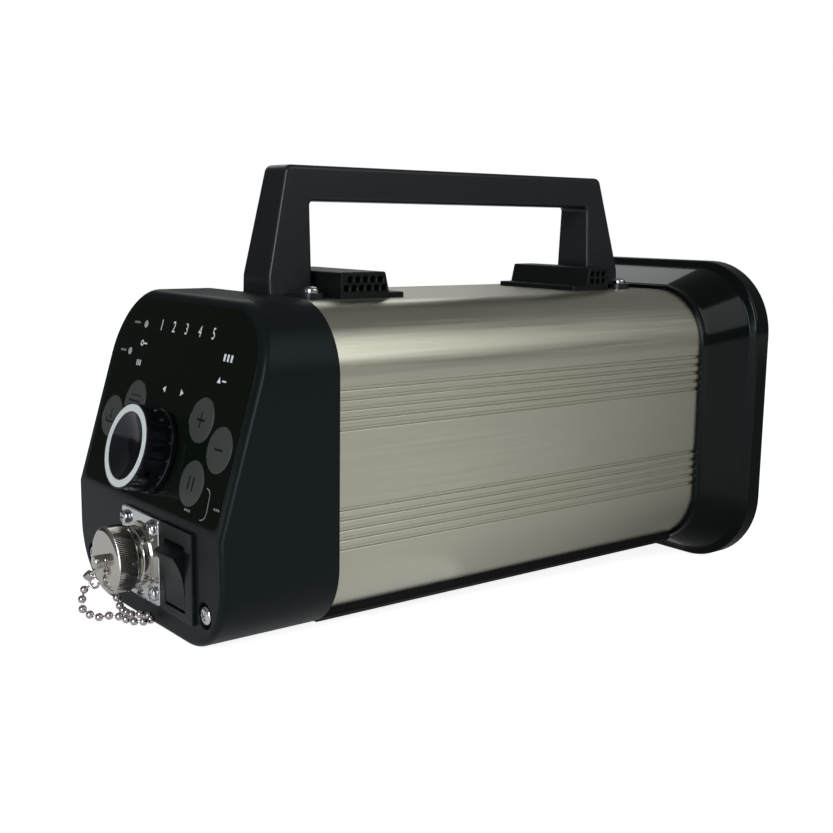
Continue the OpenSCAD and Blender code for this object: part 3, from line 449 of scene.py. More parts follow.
def stage_material(name, color, seen):
    """Diffuse for light and shadow.

    Camera and glass rays also see it lit at strength `seen`, mirror rays at the share FLOOR_GLOSSY of that.
    """
    mat = bpy.data.materials.new(name)
    mat.use_nodes = True
    tree = mat.node_tree
    out = tree.nodes["Material Output"]
    diffuse = tree.nodes["Principled BSDF"]
    diffuse.inputs["Base Color"].default_value = (*color, 1)
    diffuse.inputs["Roughness"].default_value = 0.9
    diffuse.inputs["Specular IOR Level"].default_value = 0.1
    glow = tree.nodes.new("ShaderNodeEmission")
    glow.inputs["Color"].default_value = (1, 1, 1, 1)
    path = tree.nodes.new("ShaderNodeLightPath")

    def maths(operation, *values):
        node = tree.nodes.new("ShaderNodeMath")
        node.operation = operation
        for value, socket in zip(values, node.inputs):
            if isinstance(value, float):
                socket.default_value = value
            else:
                tree.links.new(value, socket)
        return node.outputs[0]

    either = maths("MAXIMUM", path.outputs["Is Camera Ray"], path.outputs["Is Transmission Ray"])
    share = maths("MULTIPLY_ADD", path.outputs["Is Glossy Ray"], FLOOR_GLOSSY, either)
    tree.links.new(maths("MULTIPLY", share, seen), glow.inputs["Strength"])
    both = tree.nodes.new("ShaderNodeAddShader")
    tree.links.new(diffuse.outputs[0], both.inputs[0])
    tree.links.new(glow.outputs[0], both.inputs[1])
    tree.links.new(both.outputs[0], out.inputs["Surface"])
    return mat


floor_mesh = bpy.data.meshes.new("floor")
floor_mesh.from_pydata([(sx * FLOOR_HALF, sy * FLOOR_HALF, floor_z(sx * FLOOR_HALF / MM) * MM)
                        for sx, sy in ((-1, -1), (1, -1), (1, 1), (-1, 1))], [], [(0, 1, 2, 3)])
floor = bpy.data.objects.new("floor", floor_mesh)
scene.collection.objects.link(floor)
floor_mesh.materials.append(stage_material("floor", (FLOOR_GREY, FLOOR_GREY, FLOOR_GREY), FLOOR_SEEN))

WORLD_LIGHT, WORLD_SEEN = 0.15, 1.0  # strength for light and for the camera

world = bpy.data.worlds.new("studio")
scene.world = world
world.use_nodes = True
wt = world.node_tree
background = wt.nodes["Background"]
path = wt.nodes.new("ShaderNodeLightPath")
level = wt.nodes.new("ShaderNodeMapRange")
wt.links.new(path.outputs["Is Camera Ray"], level.inputs["Value"])
level.inputs["To Min"].default_value = WORLD_LIGHT
level.inputs["To Max"].default_value = WORLD_SEEN
wt.links.new(level.outputs["Result"], background.inputs["Strength"])
background.inputs["Color"].default_value = (1, 1, 1, 1)

AIM = (0, 0, 0.05)  # every softbox points at the middle of the lamp


def softbox(name, position, width, height, power, color=(1, 1, 1)):
    data = bpy.data.lights.new(name, "AREA")
    data.shape, data.size, data.size_y = "RECTANGLE", width, height
    data.energy, data.color = power, color
    ob = bpy.data.objects.new(name, data)
    scene.collection.objects.link(ob)
    ob.location = position
    ob.rotation_euler = (Vector(AIM) - Vector(position)).to_track_quat("-Z", "Y").to_euler()


softbox("key", (0.47, -1.03, 0.86), width=0.9, height=1.0, power=3.9)
softbox("fill", (-1.3, -0.8, 0.55), width=0.6, height=0.9, power=13.5, color=(0.86, 0.89, 1.0))
softbox("back", (0.5, 1.3, 0.8), width=1.2, height=0.6, power=2.6)


def card(name, corners, way, span, glow_span):
    """Board that only reflections see; its glow runs over glow_span while point . way runs over span."""
    mesh = bpy.data.meshes.new(name)
    mesh.from_pydata(corners, [], [(0, 1, 2, 3)])
    mat = bpy.data.materials.new(name)
    mat.use_nodes = True
    tree = mat.node_tree
    tree.nodes.remove(tree.nodes["Principled BSDF"])
    coords = tree.nodes.new("ShaderNodeTexCoord")
    along = tree.nodes.new("ShaderNodeVectorMath")
    along.operation = "DOT_PRODUCT"
    tree.links.new(coords.outputs["Object"], along.inputs[0])
    along.inputs[1].default_value = way
    ramp = tree.nodes.new("ShaderNodeMapRange")
    ramp.inputs["From Min"].default_value, ramp.inputs["From Max"].default_value = span
    ramp.inputs["To Min"].default_value, ramp.inputs["To Max"].default_value = glow_span
    tree.links.new(along.outputs["Value"], ramp.inputs["Value"])
    glow = tree.nodes.new("ShaderNodeEmission")
    tree.links.new(ramp.outputs["Result"], glow.inputs["Strength"])
    tree.links.new(glow.outputs[0], tree.nodes["Material Output"].inputs["Surface"])
    mesh.materials.append(mat)
    ob = bpy.data.objects.new(name, mesh)
    scene.collection.objects.link(ob)
    ob.visible_camera = ob.visible_shadow = ob.visible_diffuse = ob.visible_transmission = False


# metres: one card lies over the floor beside the lamp, in (x, y), one stands behind it, in (x, z)
FLOOR_CARD, CARD_LIFT = ((-0.02, -0.03), (1.1, -0.03), (1.1, -1.4), (-0.02, -1.4)), 0.6 * MM
REAR_CARD, REAR_CARD_Y = ((-1.6, 0.0), (0.50, 0.0), (0.50, 0.45), (-1.6, 0.45)), 0.88
card("front_card", [(x, y, floor_z(x / MM) * MM + CARD_LIFT) for x, y in FLOOR_CARD],
     way=(1, 1.2, 0), span=(-0.17, 0.03), glow_span=(0.62, 0.16))
card("rear_card", [(x, REAR_CARD_Y, z) for x, z in REAR_CARD],
     way=(1, 0, 0), span=(-0.3, 0.0), glow_span=(0.045, 0.01))

# ---------------- body extrusion

BAND_Z, GROOVE_PITCH, GROOVE_SOFT = 18.4, 3.05, 0.16
GROOVE = [(-0.80, 0), (-0.62, 0.12), (-0.33, 0.6), (0.33, 0.6), (0.62, 0.12), (0.80, 0)]  # (z, depth)


def body_outline():
    """(y, z) round the extrusion, with five grooves in each of two bands a side."""
    half = BODY_W / 2
    arc = square_outline(BODY_W, BODY_R, 20)
    n = len(arc) // 4
    corner = [arc[i * n:(i + 1) * n] for i in range(4)]
    lips = []
    for band in (-1, 1):
        for i in range(5):
            z0 = band * BAND_Z + (i - 2) * GROOVE_PITCH
            lips += [(z0 + z, d) for z, d in GROOVE]
    left = [Vector((-half + d, z)) for z, d in reversed(lips)]
    right_side = [Vector((half - d, z)) for z, d in lips]
    pts, radii = [], []
    for k in range(4):
        pts += corner[k]
        radii += [0.0] * len(corner[k])
        side = {1: left, 3: right_side}.get(k)
        if side:
            pts += side
            radii += [GROOVE_SOFT] * len(side)
    return round_off(pts, radii, 2)


outer = body_outline()
inner = square_outline(BODY_W - 2 * WALL, BODY_R - WALL, 20)
shell = Shape().rings([[(x, p.x, p.y + ZC) for p in outer] for x in (-TUBE_END, TUBE_END)])
hollow = Shape().rings([[(x, p.x, p.y + ZC) for p in inner] for x in (-TUBE_END - 1, TUBE_END + 1)])
piece("body_shell", shell, "anodised_body", stands_for=("body_tube",), angle=24, cut=(hollow,))

# ---------------- rear moulding


def cap_rings(grow, back, x1):
    """The cap's outline, wider by grow, on its rear faces moved in by back, and the same outline at x1."""
    outline = []
    w, r = CAP_W + 2 * grow, CAP_R + grow
    ridge = RIDGE_H - back * math.tan(TILT / 2) - ZC
    pts = [p - Vector((0, CAP_DROP)) if p.y < 0 else p for p in square_outline(w, r, 18)]
    for i, p in enumerate(pts):
        q = pts[(i + 1) % len(pts)]
        outline.append(p)
        if abs(p.x - q.x) < 1e-6 and (p.y - ridge) * (q.y - ridge) < 0:
            outline.append(Vector((p.x, ridge)))
    x0 = REAR_X + back
    rear = []
    for p in outline:
        climb = max(0.0, p.y - ridge)
        rear.append(Vector((x0 + climb * math.tan(TILT), p.x, p.y + ZC)))
    return rear, [Vector((x1, p.x, p.y + ZC)) for p in outline]


def cap_solid(grow=0.0, back=0.0, x1=-SEAM, soft=CAP_FILLET, steps=8):
    """The cap's solid with its rear edge rounded; the rear end is two faces that meet at the ridge."""
    rings = []
    for k in range(steps + 1):
        a = math.pi / 2 * k / steps
        rings.append(cap_rings(grow - soft * (1 - math.sin(a)), back + soft * (1 - math.cos(a)), x1)[0])
        if soft == 0:
            break
    rings.append(cap_rings(grow, back, x1)[1])
    s = Shape().rings(rings, caps=(False, True))
    ring = rings[0]
    ridge_z = RIDGE_H - back * math.tan(TILT / 2)
    at = [i for i, p in enumerate(ring) if abs(p.z - ridge_z) < 1e-4]
    a, b = at[0], at[-1]
    n = len(ring)
    s.f.append(tuple(reversed(range(a, b + 1))))
    s.f.append(tuple(reversed([i % n for i in range(b, n + a + 1)])))
    return s


def overlay_outline(grow=0.0, steps=14):
    """(climb, y): large corners at the top, small ones below."""
    lo, hi, y = 2.0 - grow, PANEL_LEN - 3.0 + grow, OVERLAY_Y + grow
    pts = [(lo, -y), (hi, -y), (hi, y), (lo, y)]
    return round_off(pts, [3 + grow, 19 + grow, 19 + grow, 3 + grow], steps)


def bore(r, z0, z1, n=48, soft=0.0):
    """Round cutter; soft opens it out from local Z = 0 up."""
    prof = [(0, z0), (r, z0)]
    if soft:
        prof += [(r, -soft), (r + soft, 0.0), (r + soft, z1)]
    else:
        prof += [(r, z1)]
    return lathe(prof + [(0, z1)], n)


KEYS_AT = [(s * y, t) for s in (1, -1) for y, t in BUTTON_AT]
SOCKET_HOLE_R, SINK_R, SHAFT_HOLE_R, KEY_PLAY = 8.9, 3.9, 4.7, 0.2
WINDOW_HALF_W, WINDOW_HALF_H = 9.3, 12.8  # opening for the switch

cap = mesh_object("rear_moulding", cap_solid())
hollow = cap_solid(-SHELL, SHELL, -SEAM + 1, 0.0)
sleeve = Shape().rings([[(x, p.x, p.y + ZC) for p in square_outline(BODY_W + 2 * GAP, BODY_R + GAP, 18)]
                        for x in (-TUBE_END, -SEAM + 2)])
carve(cap, [hollow])
carve(cap, [sleeve])
hole = bore(SOCKET_HOLE_R, 0, 9).moved(backward(REAR_X + 6, 0, CONN_H))
window_outline = rect_outline(SWITCH_Y - WINDOW_HALF_W, SWITCH_Y + WINDOW_HALF_W,
                              CONN_H - WINDOW_HALF_H, CONN_H + WINDOW_HALF_H)
window = Shape().rings([[(x, p.x, p.y) for p in window_outline] for x in (REAR_X + 7, REAR_X - 1)])
sinks = Shape()
for side in (-1, 1):
    sinks.add(bore(SINK_R, -1.8, 2.0, soft=0.25), backward(REAR_X, side * PORT, ZC - PORT))
recess = prism(overlay_outline(0.04), -OVERLAY_T - 0.02, 1.0).moved(PANEL)
pockets = Shape()
for y, t in KEYS_AT:
    pockets.add(bore(BUTTON_R + KEY_PLAY, -2.1, 1.0), on_panel(t, y))
pockets.add(bore(SHAFT_HOLE_R, -SHELL - 1, 1.0), on_panel(KNOB_T, 0))
carve(cap, [hole, window, sinks])
carve(cap, [recess])
carve(cap, [pockets])
dress(cap, "cap_black", stands_for=("rear_cap",), angle=26)

# ---------------- front hood


def square_ring(x, half, r, steps=16):
    return [Vector((x, p.x, p.y + ZC)) for p in square_outline(2 * half, min(r, half), steps)]


hood_path = [  # (x, half width, corner radius), round the moulding's wall
    (89.5, 49.15, 21.15), (89.5, 42.0, 42.0), (93.5, 42.0, 42.0), (93.5, 47.5, 19.5), (102.0, 51.7, 22.5),
    (102.0, 54.5, 23.5), (111.5, 55.1, 24.1), (111.5, 60.0, 28.0), (103.6, 60.0, 28.0), (102.2, 57.3, 26.3),
    (100.4, 56.5, 25.6), (86.0, 50.7, 22.7), (83.5, 50.5, 22.5), (83.5, 49.15, 21.15)]
hood_soft = [0.0, 0.3, 0.5, 0.4, 0.3, 0.2, 1.2, 1.4, 1.2, 0.9, 1.6, 6.0, 0.7, 0.1]
hood_rings = [square_ring(p.x, p.y, p.z) for p in round_off(hood_path, hood_soft, 5)]
piece("hood_moulding", Shape().rings(hood_rings, loop=True), "hood_black", stands_for=("front_hood",), angle=26)

# ---------------- handle

HANDLE_REAR, HANDLE_LEN, TOP_REAR, TOP_LEN = -82.3, 162.0, -74.5, 144.0
GAP_X, GAP_LEN, HAND_GAP, HANDLE_H, FOOT_H = -65.89, 128.3, 31.0, 42.5, 7.0
TAB_X, TAB_Y, TAB_R, TAB_ROOT, TAB_T = (-71.3, 72.4), 16.0, 4.2, 8.6, 2.0


def grip_rings(edge=1.4, steps=5):
    """Side view of the grip, ring by ring across it, with its edges rounded."""
    front = HANDLE_REAR + HANDLE_LEN
    pts = [(HANDLE_REAR, 0), (HANDLE_REAR, FOOT_H), (TOP_REAR, HANDLE_H), (TOP_REAR + TOP_LEN, HANDLE_H),
           (front, FOOT_H), (front, 0),
           (GAP_X + GAP_LEN, 0), (GAP_X + GAP_LEN, HAND_GAP), (GAP_X, HAND_GAP), (GAP_X, 0)]
    outline = round_off(pts, [0, 8, 2.6, 2.6, 8, 0, 0, 1.5, 1.5, 0], 6)

    def half_width(z):
        return 9.0 - 2.0 * max(0.0, z) / HANDLE_H

    rings = []
    for side in (1, -1):
        for k in (range(steps + 1) if side > 0 else reversed(range(steps + 1))):
            a = math.pi / 2 * k / steps
            flat = inset(outline, edge * (1 - math.sin(a)))
            rings.append([Vector((p.x, side * (half_width(p.y) - edge * (1 - math.cos(a))), p.y + TOP_Z))
                          for p in flat])
    return rings


piece("grip_handle", Shape().rings(grip_rings()), "handle_black", stands_for=("handle",), angle=30)
feet = Shape()
for x in TAB_X:
    for side in (-1, 1):
        near, far = side * TAB_ROOT, side * (TAB_Y + TAB_R)
        pts = [(x - TAB_R, near), (x - TAB_R, far), (x + TAB_R, far), (x + TAB_R, near)]
        feet.add(prism(round_off(pts, [0, 4.1, 4.1, 0], 10), TOP_Z, TOP_Z + TAB_T, 0, 0.5))
piece("handle_feet", feet, "handle_black")

# ---------------- vent covers


VENT_W, VENT_H, VENT_LEAN, VENT_FOOT, VENT_WALL = 42.4, 8.6, 2.1, 6.0, 1.2
VENT_HOLE_R, VENT_MOUTH_R, VENT_PITCH = 1.075, 1.35, 3.0


def vent_cover(name, node, mirror, x0, top_l, rows):
    """Perforated box with a foot at its leaning end; rows are (holes, x, z of the first hole)."""
    half, t, end = VENT_W / 2, VENT_WALL, top_l + VENT_LEAN
    to_world = Matrix.Translation((x0, 0, TOP_Z)) @ Matrix.Scale(-1 if mirror else 1, 4, (1, 0, 0))
    across = to_world @ frame_at((0, 0, 0), (1, 0, 0), (0, 0, 1))  # local Z runs towards -Y
    prof = round_off([(0, 0), (0, VENT_H), (top_l, VENT_H), (end, 0)], [0, 0.8, 0.8, 0], 4)
    box = prism(prof, -half, half, 0.5, 0.5).moved(across)
    room = [(t, -1), (t, VENT_H - t), (top_l - t, VENT_H - t), (end - t, 1.8), (end - t, -1)]
    inside = prism([Vector(p) for p in room], -half + t, half - t).moved(across)
    drill = lathe([(0, -half - 1), (VENT_MOUTH_R, -half - 1), (VENT_MOUTH_R, -half), (VENT_HOLE_R, -half + 0.25),
                   (VENT_HOLE_R, half - 0.25), (VENT_MOUTH_R, half), (VENT_MOUTH_R, half + 1), (0, half + 1)], 24)
    holes = Shape()
    for count, hx, hz in rows:
        for i in range(count):
            holes.add(drill, across @ Matrix.Translation((hx + i * VENT_PITCH, hz, 0)))
    ob = mesh_object(name, box)
    carve(ob, [inside])
    carve(ob, [holes])
    dress(ob, "vent_black", stands_for=(node,), angle=30)
    plate = prism(rect_outline(0.3, end + VENT_FOOT, -half + 0.3, half - 0.3, 1.0), 0, 1.8, 0, 0.4)
    foot_ob = mesh_object(name + "_foot", plate.moved(to_world))
    under_box = prism(rect_outline(-5, end - 1.0, -60, 60), -3, 8).moved(to_world)
    carve(foot_ob, [under_box])
    dress(foot_ob, "vent_black")


vent_cover("rear_vent_box", "rear_vent_cover", False, -63.1, 17.7, [(6, 2.2, 3.3), (5, 3.7, 6.1)])
vent_cover("front_vent_box", "front_vent_cover", True, 61.3, 10.4, [(3, 2.7, 3.3), (3, 2.7, 6.1)])

# ---------------- screws


def cross_head(r, h):
    """Pan head on local Z = 0 with a tapered cross recess."""
    prof = [(0, 0), (r * 0.97, 0), (r, 0.06 * h)]
    dome = []
    for k in range(9):
        a = math.pi / 2 * k / 8
        dome.append((r * math.cos(a) ** 0.72, h * (0.42 + 0.58 * math.sin(a))))
    ob = mesh_object("head", lathe(prof + dome[:-1] + [(0, h)], 40))

    def slot_at(reach, half, z):
        return [(-reach, -half, z), (reach, -half, z), (reach, half, z), (-reach, half, z)]

    arm = [slot_at(0.30 * r, 0.10 * r, 0.30 * h), slot_at(0.62 * r, 0.17 * r, h + 0.2)]
    carve(ob, [Shape().rings(arm).moved(Matrix.Rotation(turn, 4, "Z")) for turn in (0, math.pi / 2)])
    out = Shape()
    out.v = [v.co / MM for v in ob.data.vertices]
    out.f = [tuple(p.vertices) for p in ob.data.polygons]
    bpy.data.objects.remove(ob)
    return out


def screws(name, node, places, r, h, turns):
    """One piece of equal screw heads, each with its own turn in degrees."""
    head, all_heads = cross_head(r, h), Shape()
    for i, m in enumerate(places):
        all_heads.add(head, m @ Matrix.Rotation(math.radians(turns[i % len(turns)]), 4, "Z"))
    piece(name, all_heads, "screw_chrome", stands_for=(node,), angle=32)


CORNERS = [(y, z) for y in (-1, 1) for z in (-1, 1)]
FLANGE_SCREW_Y, FLANGE_SCREW_Z = 9.4, 10.3
EYELET_T = 0.6  # the chain's eyelet lies under one screw of the flange

screws("handle_screw_heads", "handle_screws",
       [Matrix.Translation((x, y, TOP_Z + TAB_T)) for x in TAB_X for y in (-TAB_Y, TAB_Y)], 2.7, 2.0, (20, 65, 5, 40))
screws("cap_screw_heads", "rear_cap_screws",
       [backward(REAR_X + 1.5, side * PORT, ZC - PORT) for side in (-1, 1)], 2.9, 2.0, (38, 12))
screws("socket_screw_heads", "connector_screws",
       [backward(FLANGE_X - FLANGE_T - (EYELET_T if (y, z) == (1, -1) else 0),
                 y * FLANGE_SCREW_Y, CONN_H + z * FLANGE_SCREW_Z) for y, z in CORNERS], 2.3, 1.7, (15, 50, 30, 8))
screws("hood_screw_heads", "hood_screws",
       [forward(93.5, y * PORT, ZC + z * PORT) for y, z in CORNERS], 3.4, 2.2, (10, 55, 32, 80))

# ---------------- control panel

overlay = mesh_object("panel_overlay", prism(overlay_outline(), -OVERLAY_T, 0.0, 0, 0.04).moved(PANEL))
panel_cuts = Shape()
for y, t in KEYS_AT:
    panel_cuts.add(bore(BUTTON_R + KEY_PLAY, -1, 1, 64, 0.12), on_panel(t, y))
panel_cuts.add(bore(8.4, -1, 1), on_panel(KNOB_T, 0))
for y, t in LAMP_AT:
    panel_cuts.add(bore(1.3, -1, 1, 32), on_panel(t, y))
carve(overlay, [panel_cuts])
carve(overlay, [prism(rect_outline(WINDOW_LO, WINDOW_HI, -WINDOW_Y, WINDOW_Y, 0.8), -1, 1).moved(PANEL)])
dress(overlay, "overlay_black", stands_for=("keypad_overlay",), angle=0, weighted=False)
piece("display_pane", prism(rect_outline(WINDOW_LO + 0.05, WINDOW_HI - 0.05, -WINDOW_Y + 0.05, WINDOW_Y - 0.05, 0.8),
                            -OVERLAY_T, -0.03, 0, 0.06).moved(PANEL), "window_smoke", stands_for=("display_window",))
dots = Shape()
for y, t in LAMP_AT:
    dots.add(lathe([(0, -3), (1.25, -3), (1.25, 0.02), (1.1, 0.14), (0.7, 0.22), (0, 0.25)], 32), on_panel(t, y))
piece("lamp_dots", dots, "lamp_white", stands_for=("indicator_lamps",))

INK = 0.02  # thickness of the print
FIGURE_H, FIGURE_NARROW = 3.6, 0.80
EM_SHARE = 0.70  # height of a figure as a share of the typeface's size


def ink(outline):
    """Print on the panel: an outline in (climb, y)."""
    return prism([Vector(p) for p in outline], 0.0, INK).moved(PANEL)


def ink_bar(t, y, high_t, long_y):
    t0, t1, y0, y1 = t - high_t / 2, t + high_t / 2, y - long_y / 2, y + long_y / 2
    return ink([(t0, y0), (t1, y0), (t1, y1), (t0, y1)])


def digit(text, t, y):
    """A figure from the built-in typeface, set upright on the panel and centred at (t, y)."""
    curve = bpy.data.curves.new("digit", "FONT")
    curve.body, curve.size, curve.align_x, curve.align_y = text, FIGURE_H / EM_SHARE, "CENTER", "CENTER"
    curve.resolution_u = 6
    ob = bpy.data.objects.new("digit", curve)
    scene.collection.objects.link(ob)
    bpy.context.view_layer.update()
    mesh = bpy.data.meshes.new_from_object(ob.evaluated_get(bpy.context.evaluated_depsgraph_get()))
    out = Shape()
    # seen from outside, the panel's left is +Y and up is the climb
    out.v = [PANEL @ Vector((t + v.co.y, y - v.co.x * FIGURE_NARROW, INK)) for v in mesh.vertices]
    out.f = [tuple(p.vertices) for p in mesh.polygons]
    bpy.data.objects.remove(ob)
    return out


figures = Shape()
for text, y in (("1", 17.1), ("2", 8.6), ("3", 0.0), ("4", -8.9), ("5", -17.6)):
    figures.add(digit(text, PANEL_LEN - 11.5, y))
piece("panel_figures", figures, "print_white", weighted=False)


def wedge(t, y, way, s=1.1):
    """Small triangle that points along way = (climb, y)."""
    w, c = Vector(way), Vector((t, y))
    q = Vector((-w.y, w.x))
    return ink([c + w * s, c - w * s * 0.7 + q * s, c - w * s * 0.7 - q * s])


def flat_ring(r, w, z0, z1, n):
    a, b = circle_outline(r, n), circle_outline(r - w, n)
    return Shape().rings([[(p.x, p.y, z) for p in o] for o, z in ((a, z0), (a, z1), (b, z1), (b, z0))], loop=True)


# plain pictograms where the panel has its captions; bars are (climb, y, height, length)
BARS = [(PANEL_LEN - 18.3, 25.6, 0.5, 2.2), (44.1, -30.4, 0.5, 2.4)]
BARS += [(PANEL_LEN - 24.9, y, 1.9, 0.5) for y in (28.4, 27.2, 26.0)]
BARS += [(51.1, y, 2.2, 1.1) for y in (-27.4, -29.5, -31.6)]
marks = Shape().add(flat_ring(1.0, 0.42, 0, INK, 32), on_panel(PANEL_LEN - 18.3, 28.0))
for row in BARS:
    marks.add(ink_bar(*row))
for t, y, way in ((37.6, 4.9, (0, 1)), (37.8, -6.8, (0, -1)), (44.1, -27.4, (1, 0))):
    marks.add(wedge(t, y, way))
piece("panel_marks", marks, "print_white", weighted=False)

# the thin bracket beside the lowest key, and rows of dashes: (how many, climb, y, step, length)
BRACKET = [(12.9, -35.6), (12.6, -37.0), (11.6, -38.0), (10.6, -38.2), (6.0, -38.6), (4.6, -38.2), (3.8, -37.2),
           (3.4, -35.8)]
LINE_HALF, LINE_LAP, DASH_H = 0.16, 0.05, 0.7
DASHES = [(4, 57.1, 33.35, 1.1, 0.7), (4, 47.1, 38.95, 1.1, 0.7), (3, 4.7, -26.0, -1.3, 0.8),
          (3, 8.0, -42.35, -1.2, 0.7)]
faint = Shape()
line = [Vector(p) for p in BRACKET]
for a, b in zip(line, line[1:]):
    d = (b - a).normalized()
    q, lap = Vector((-d.y, d.x)) * LINE_HALF, d * LINE_LAP
    faint.add(ink([a - lap + q, b + lap + q, b + lap - q, a - lap - q]))
for count, t, y, step, long_y in DASHES:
    for k in range(count):
        faint.add(ink_bar(t, y + step * k, DASH_H, long_y))
piece("panel_faint_marks", faint, "print_dim", weighted=False)

KEY_RISE, KEY_SKIRT = 0.25, -1.5
key_rim = round_off([(BUTTON_R, KEY_SKIRT), (BUTTON_R, 0), (0, 0)], 0.45, 5, closed=False)
key_prof = [(0, KEY_SKIRT), (BUTTON_R, KEY_SKIRT)] + [tuple(p) for p in key_rim[1:-1]]
key_prof += [(5.6, 0.02), (4.0, 0.06), (2.0, 0.09), (0, 0.10)]
KEY_MARKS = ("plus", "minus", "two bars", "dashes", "tray", "ring")


def key_mark(kind):
    """Black pictogram on a key, drawn in (climb, y)."""
    m = Shape()
    low, high = 0.005, 0.115

    def poly(*pts):
        m.add(prism([Vector(p) for p in pts], low, high))

    def rect(t0, t1, y0, y1):
        poly((t0, y0), (t1, y0), (t1, y1), (t0, y1))

    if kind == "dashes":
        for t in (-1.6, 1.6):
            for y in (-3.4, -1.0, 1.4):
                rect(t, t + 0.55, y, y + 1.4)
        rect(-0.3, 0.3, -4.0, 4.0)
    elif kind == "tray":
        rect(-0.4, 2.4, -0.3, 0.3)
        poly((-1.3, 0), (-0.1, -1.2), (-0.1, 1.2))
        rect(-2.4, -1.8, -3.0, 3.0)
        rect(-1.8, -0.8, -3.0, -2.4)
        rect(-1.8, -0.8, 2.4, 3.0)
    elif kind == "ring":
        m.add(flat_ring(2.6, 0.7, low, high, 40))
        rect(-0.35, 0.35, -0.35, 0.35)
    elif kind == "plus":
        rect(-2.4, 2.4, -0.35, 0.35)
        rect(-0.35, 0.35, -2.4, -0.35)
        rect(-0.35, 0.35, 0.35, 2.4)
    elif kind == "minus":
        rect(-0.35, 0.35, -2.4, 2.4)
    else:
        for y in (-1.3, 1.3):
            rect(-2.2, 2.2, y - 0.4, y + 0.4)
    return m


for i, (y, t) in enumerate(KEYS_AT):
    place, key = on_panel(t, y, KEY_RISE), f"button_{i + 1}"
    piece(f"key_{i + 1}", lathe(key_prof, 72).moved(place), "key_grey", key, (key,))
    piece(f"key_mark_{i + 1}", key_mark(KEY_MARKS[i]).moved(place), "print_black", key, weighted=False)

# ---------------- dial

KNOB_FLUTES, FLUTE_HALF, FLUTE_D = 15, 0.45, 0.40
top = KNOB_OUT + KNOB_H
dish_r = KNOB_R - 0.3 - RING_W - 0.3
ball_r = (dish_r ** 2 + DISH_D ** 2) / (2 * DISH_D)
ring_out = KNOB_R - 0.35
knob_side = [(7.4, KNOB_OUT + 2.0), (7.4, KNOB_OUT), (KNOB_R + 0.1, KNOB_OUT), (KNOB_R + 0.1, KNOB_OUT + 1.5),
             (KNOB_R - 0.1, KNOB_OUT + 1.8), (KNOB_R - 0.1, KNOB_OUT + 2.4), (KNOB_R - 0.1, KNOB_OUT + 2.8),
             (KNOB_R, top - 2.4), (KNOB_R, top - 2.0), (KNOB_R, top), (ring_out, top), (ring_out, top - 0.35),
             (ring_out - RING_W, top - 0.35), (ring_out - RING_W, top - 0.05), (dish_r, top - 0.05)]
knob_soft = [0, 0.2, 0.3, 0.4, 0.3, 0, 0, 0, 0, 0.25, 0.1, 0, 0, 0.1, 0.15]
knob_prof = [(0, KNOB_OUT + 2.0)] + [tuple(p) for p in round_off(knob_side, knob_soft, 4, closed=False)]
for k in range(1, 15):
    r = dish_r * (1 - k / 14)
    knob_prof.append((r, top - DISH_D + ball_r - math.sqrt(max(0, ball_r ** 2 - r * r))))


def knob_flute(angle, k):
    """Narrow axial grooves in the knob's side."""
    r, z = knob_prof[k]
    if r < KNOB_R - 0.12 or z < KNOB_OUT + 2.3 or z > top - 1.9:
        return 0.0
    a = (angle * KNOB_FLUTES / (2 * math.pi)) % 1.0
    d = min(a, 1 - a) * 2 * math.pi / KNOB_FLUTES * KNOB_R
    return -FLUTE_D * max(0.0, 1 - (d / FLUTE_HALF) ** 2)


GRUB_R, GRUB_TURN, GRUB_DROP = 0.9, -119, 3.9  # set-screw hole in the side, 29 degrees below -Y
dial_at = on_panel(KNOB_T, 0)
grub = bore(GRUB_R, KNOB_R - 3.5, KNOB_R + 2, 24)
grub.moved(dial_at @ Matrix.Rotation(math.radians(GRUB_TURN), 4, "Z")
           @ frame_at((0, 0, top - GRUB_DROP), (0, 1, 0), (0, 0, 1)))
piece("dial_cap", lathe(knob_prof, 600, knob_flute).moved(dial_at), "knob_black", "dial", ("dial_knob",),
      angle=34, cut=(grub,))
ring_prof = round_off([(KNOB_R - 0.4, top - 0.34), (KNOB_R - 0.4, top + 0.06), (KNOB_R - 0.3 - RING_W, top + 0.06),
                       (KNOB_R - 0.3 - RING_W, top - 0.34)], [0, 0.15, 0.15, 0], 4)
piece("dial_ring", lathe([tuple(p) for p in ring_prof], 160).moved(dial_at), "ring_grey", "dial", ("knob_ring",))

# ---------------- socket and dust cap

FLANGE_W, FLANGE_H, BARREL_R = 26.0, 27.8, 8.6
BARREL_END = FLANGE_X - FLANGE_T - 10.1
CAP_OUT = BARREL_END - 1.9
socket_at = backward(FLANGE_X, 0, CONN_H)
flange = prism(rect_outline(-FLANGE_W / 2, FLANGE_W / 2, -FLANGE_H / 2, FLANGE_H / 2, 1.6, 6), 0, FLANGE_T, 0, 0.35)
piece("socket_flange", flange.moved(socket_at), "screw_chrome", stands_for=("connector_shell",),
      cut=(bore(8.0, -1, 4).moved(socket_at),))
barrel = [(6.8, -10.0), (BARREL_R - 0.3, -10.0), (BARREL_R - 0.3, FLANGE_T - 0.1)]
barrel += [(BARREL_R + 2.2, FLANGE_T), (BARREL_R + 2.2, FLANGE_T + 0.7), (BARREL_R + 1.0, FLANGE_T + 1.0),
           (BARREL_R + 1.0, FLANGE_T + 2.9), (BARREL_R + 0.6, FLANGE_T + 3.3), (BARREL_R - 0.4, FLANGE_T + 3.4)]
for k in range(6):
    z = FLANGE_T + 3.9 + k
    barrel += [(BARREL_R - 0.3, z), (BARREL_R, z + 0.5)]
barrel += [(BARREL_R - 0.3, 12.1), (6.8, 12.1)]
piece("socket_barrel", lathe(barrel, 96).moved(socket_at), "nickel")

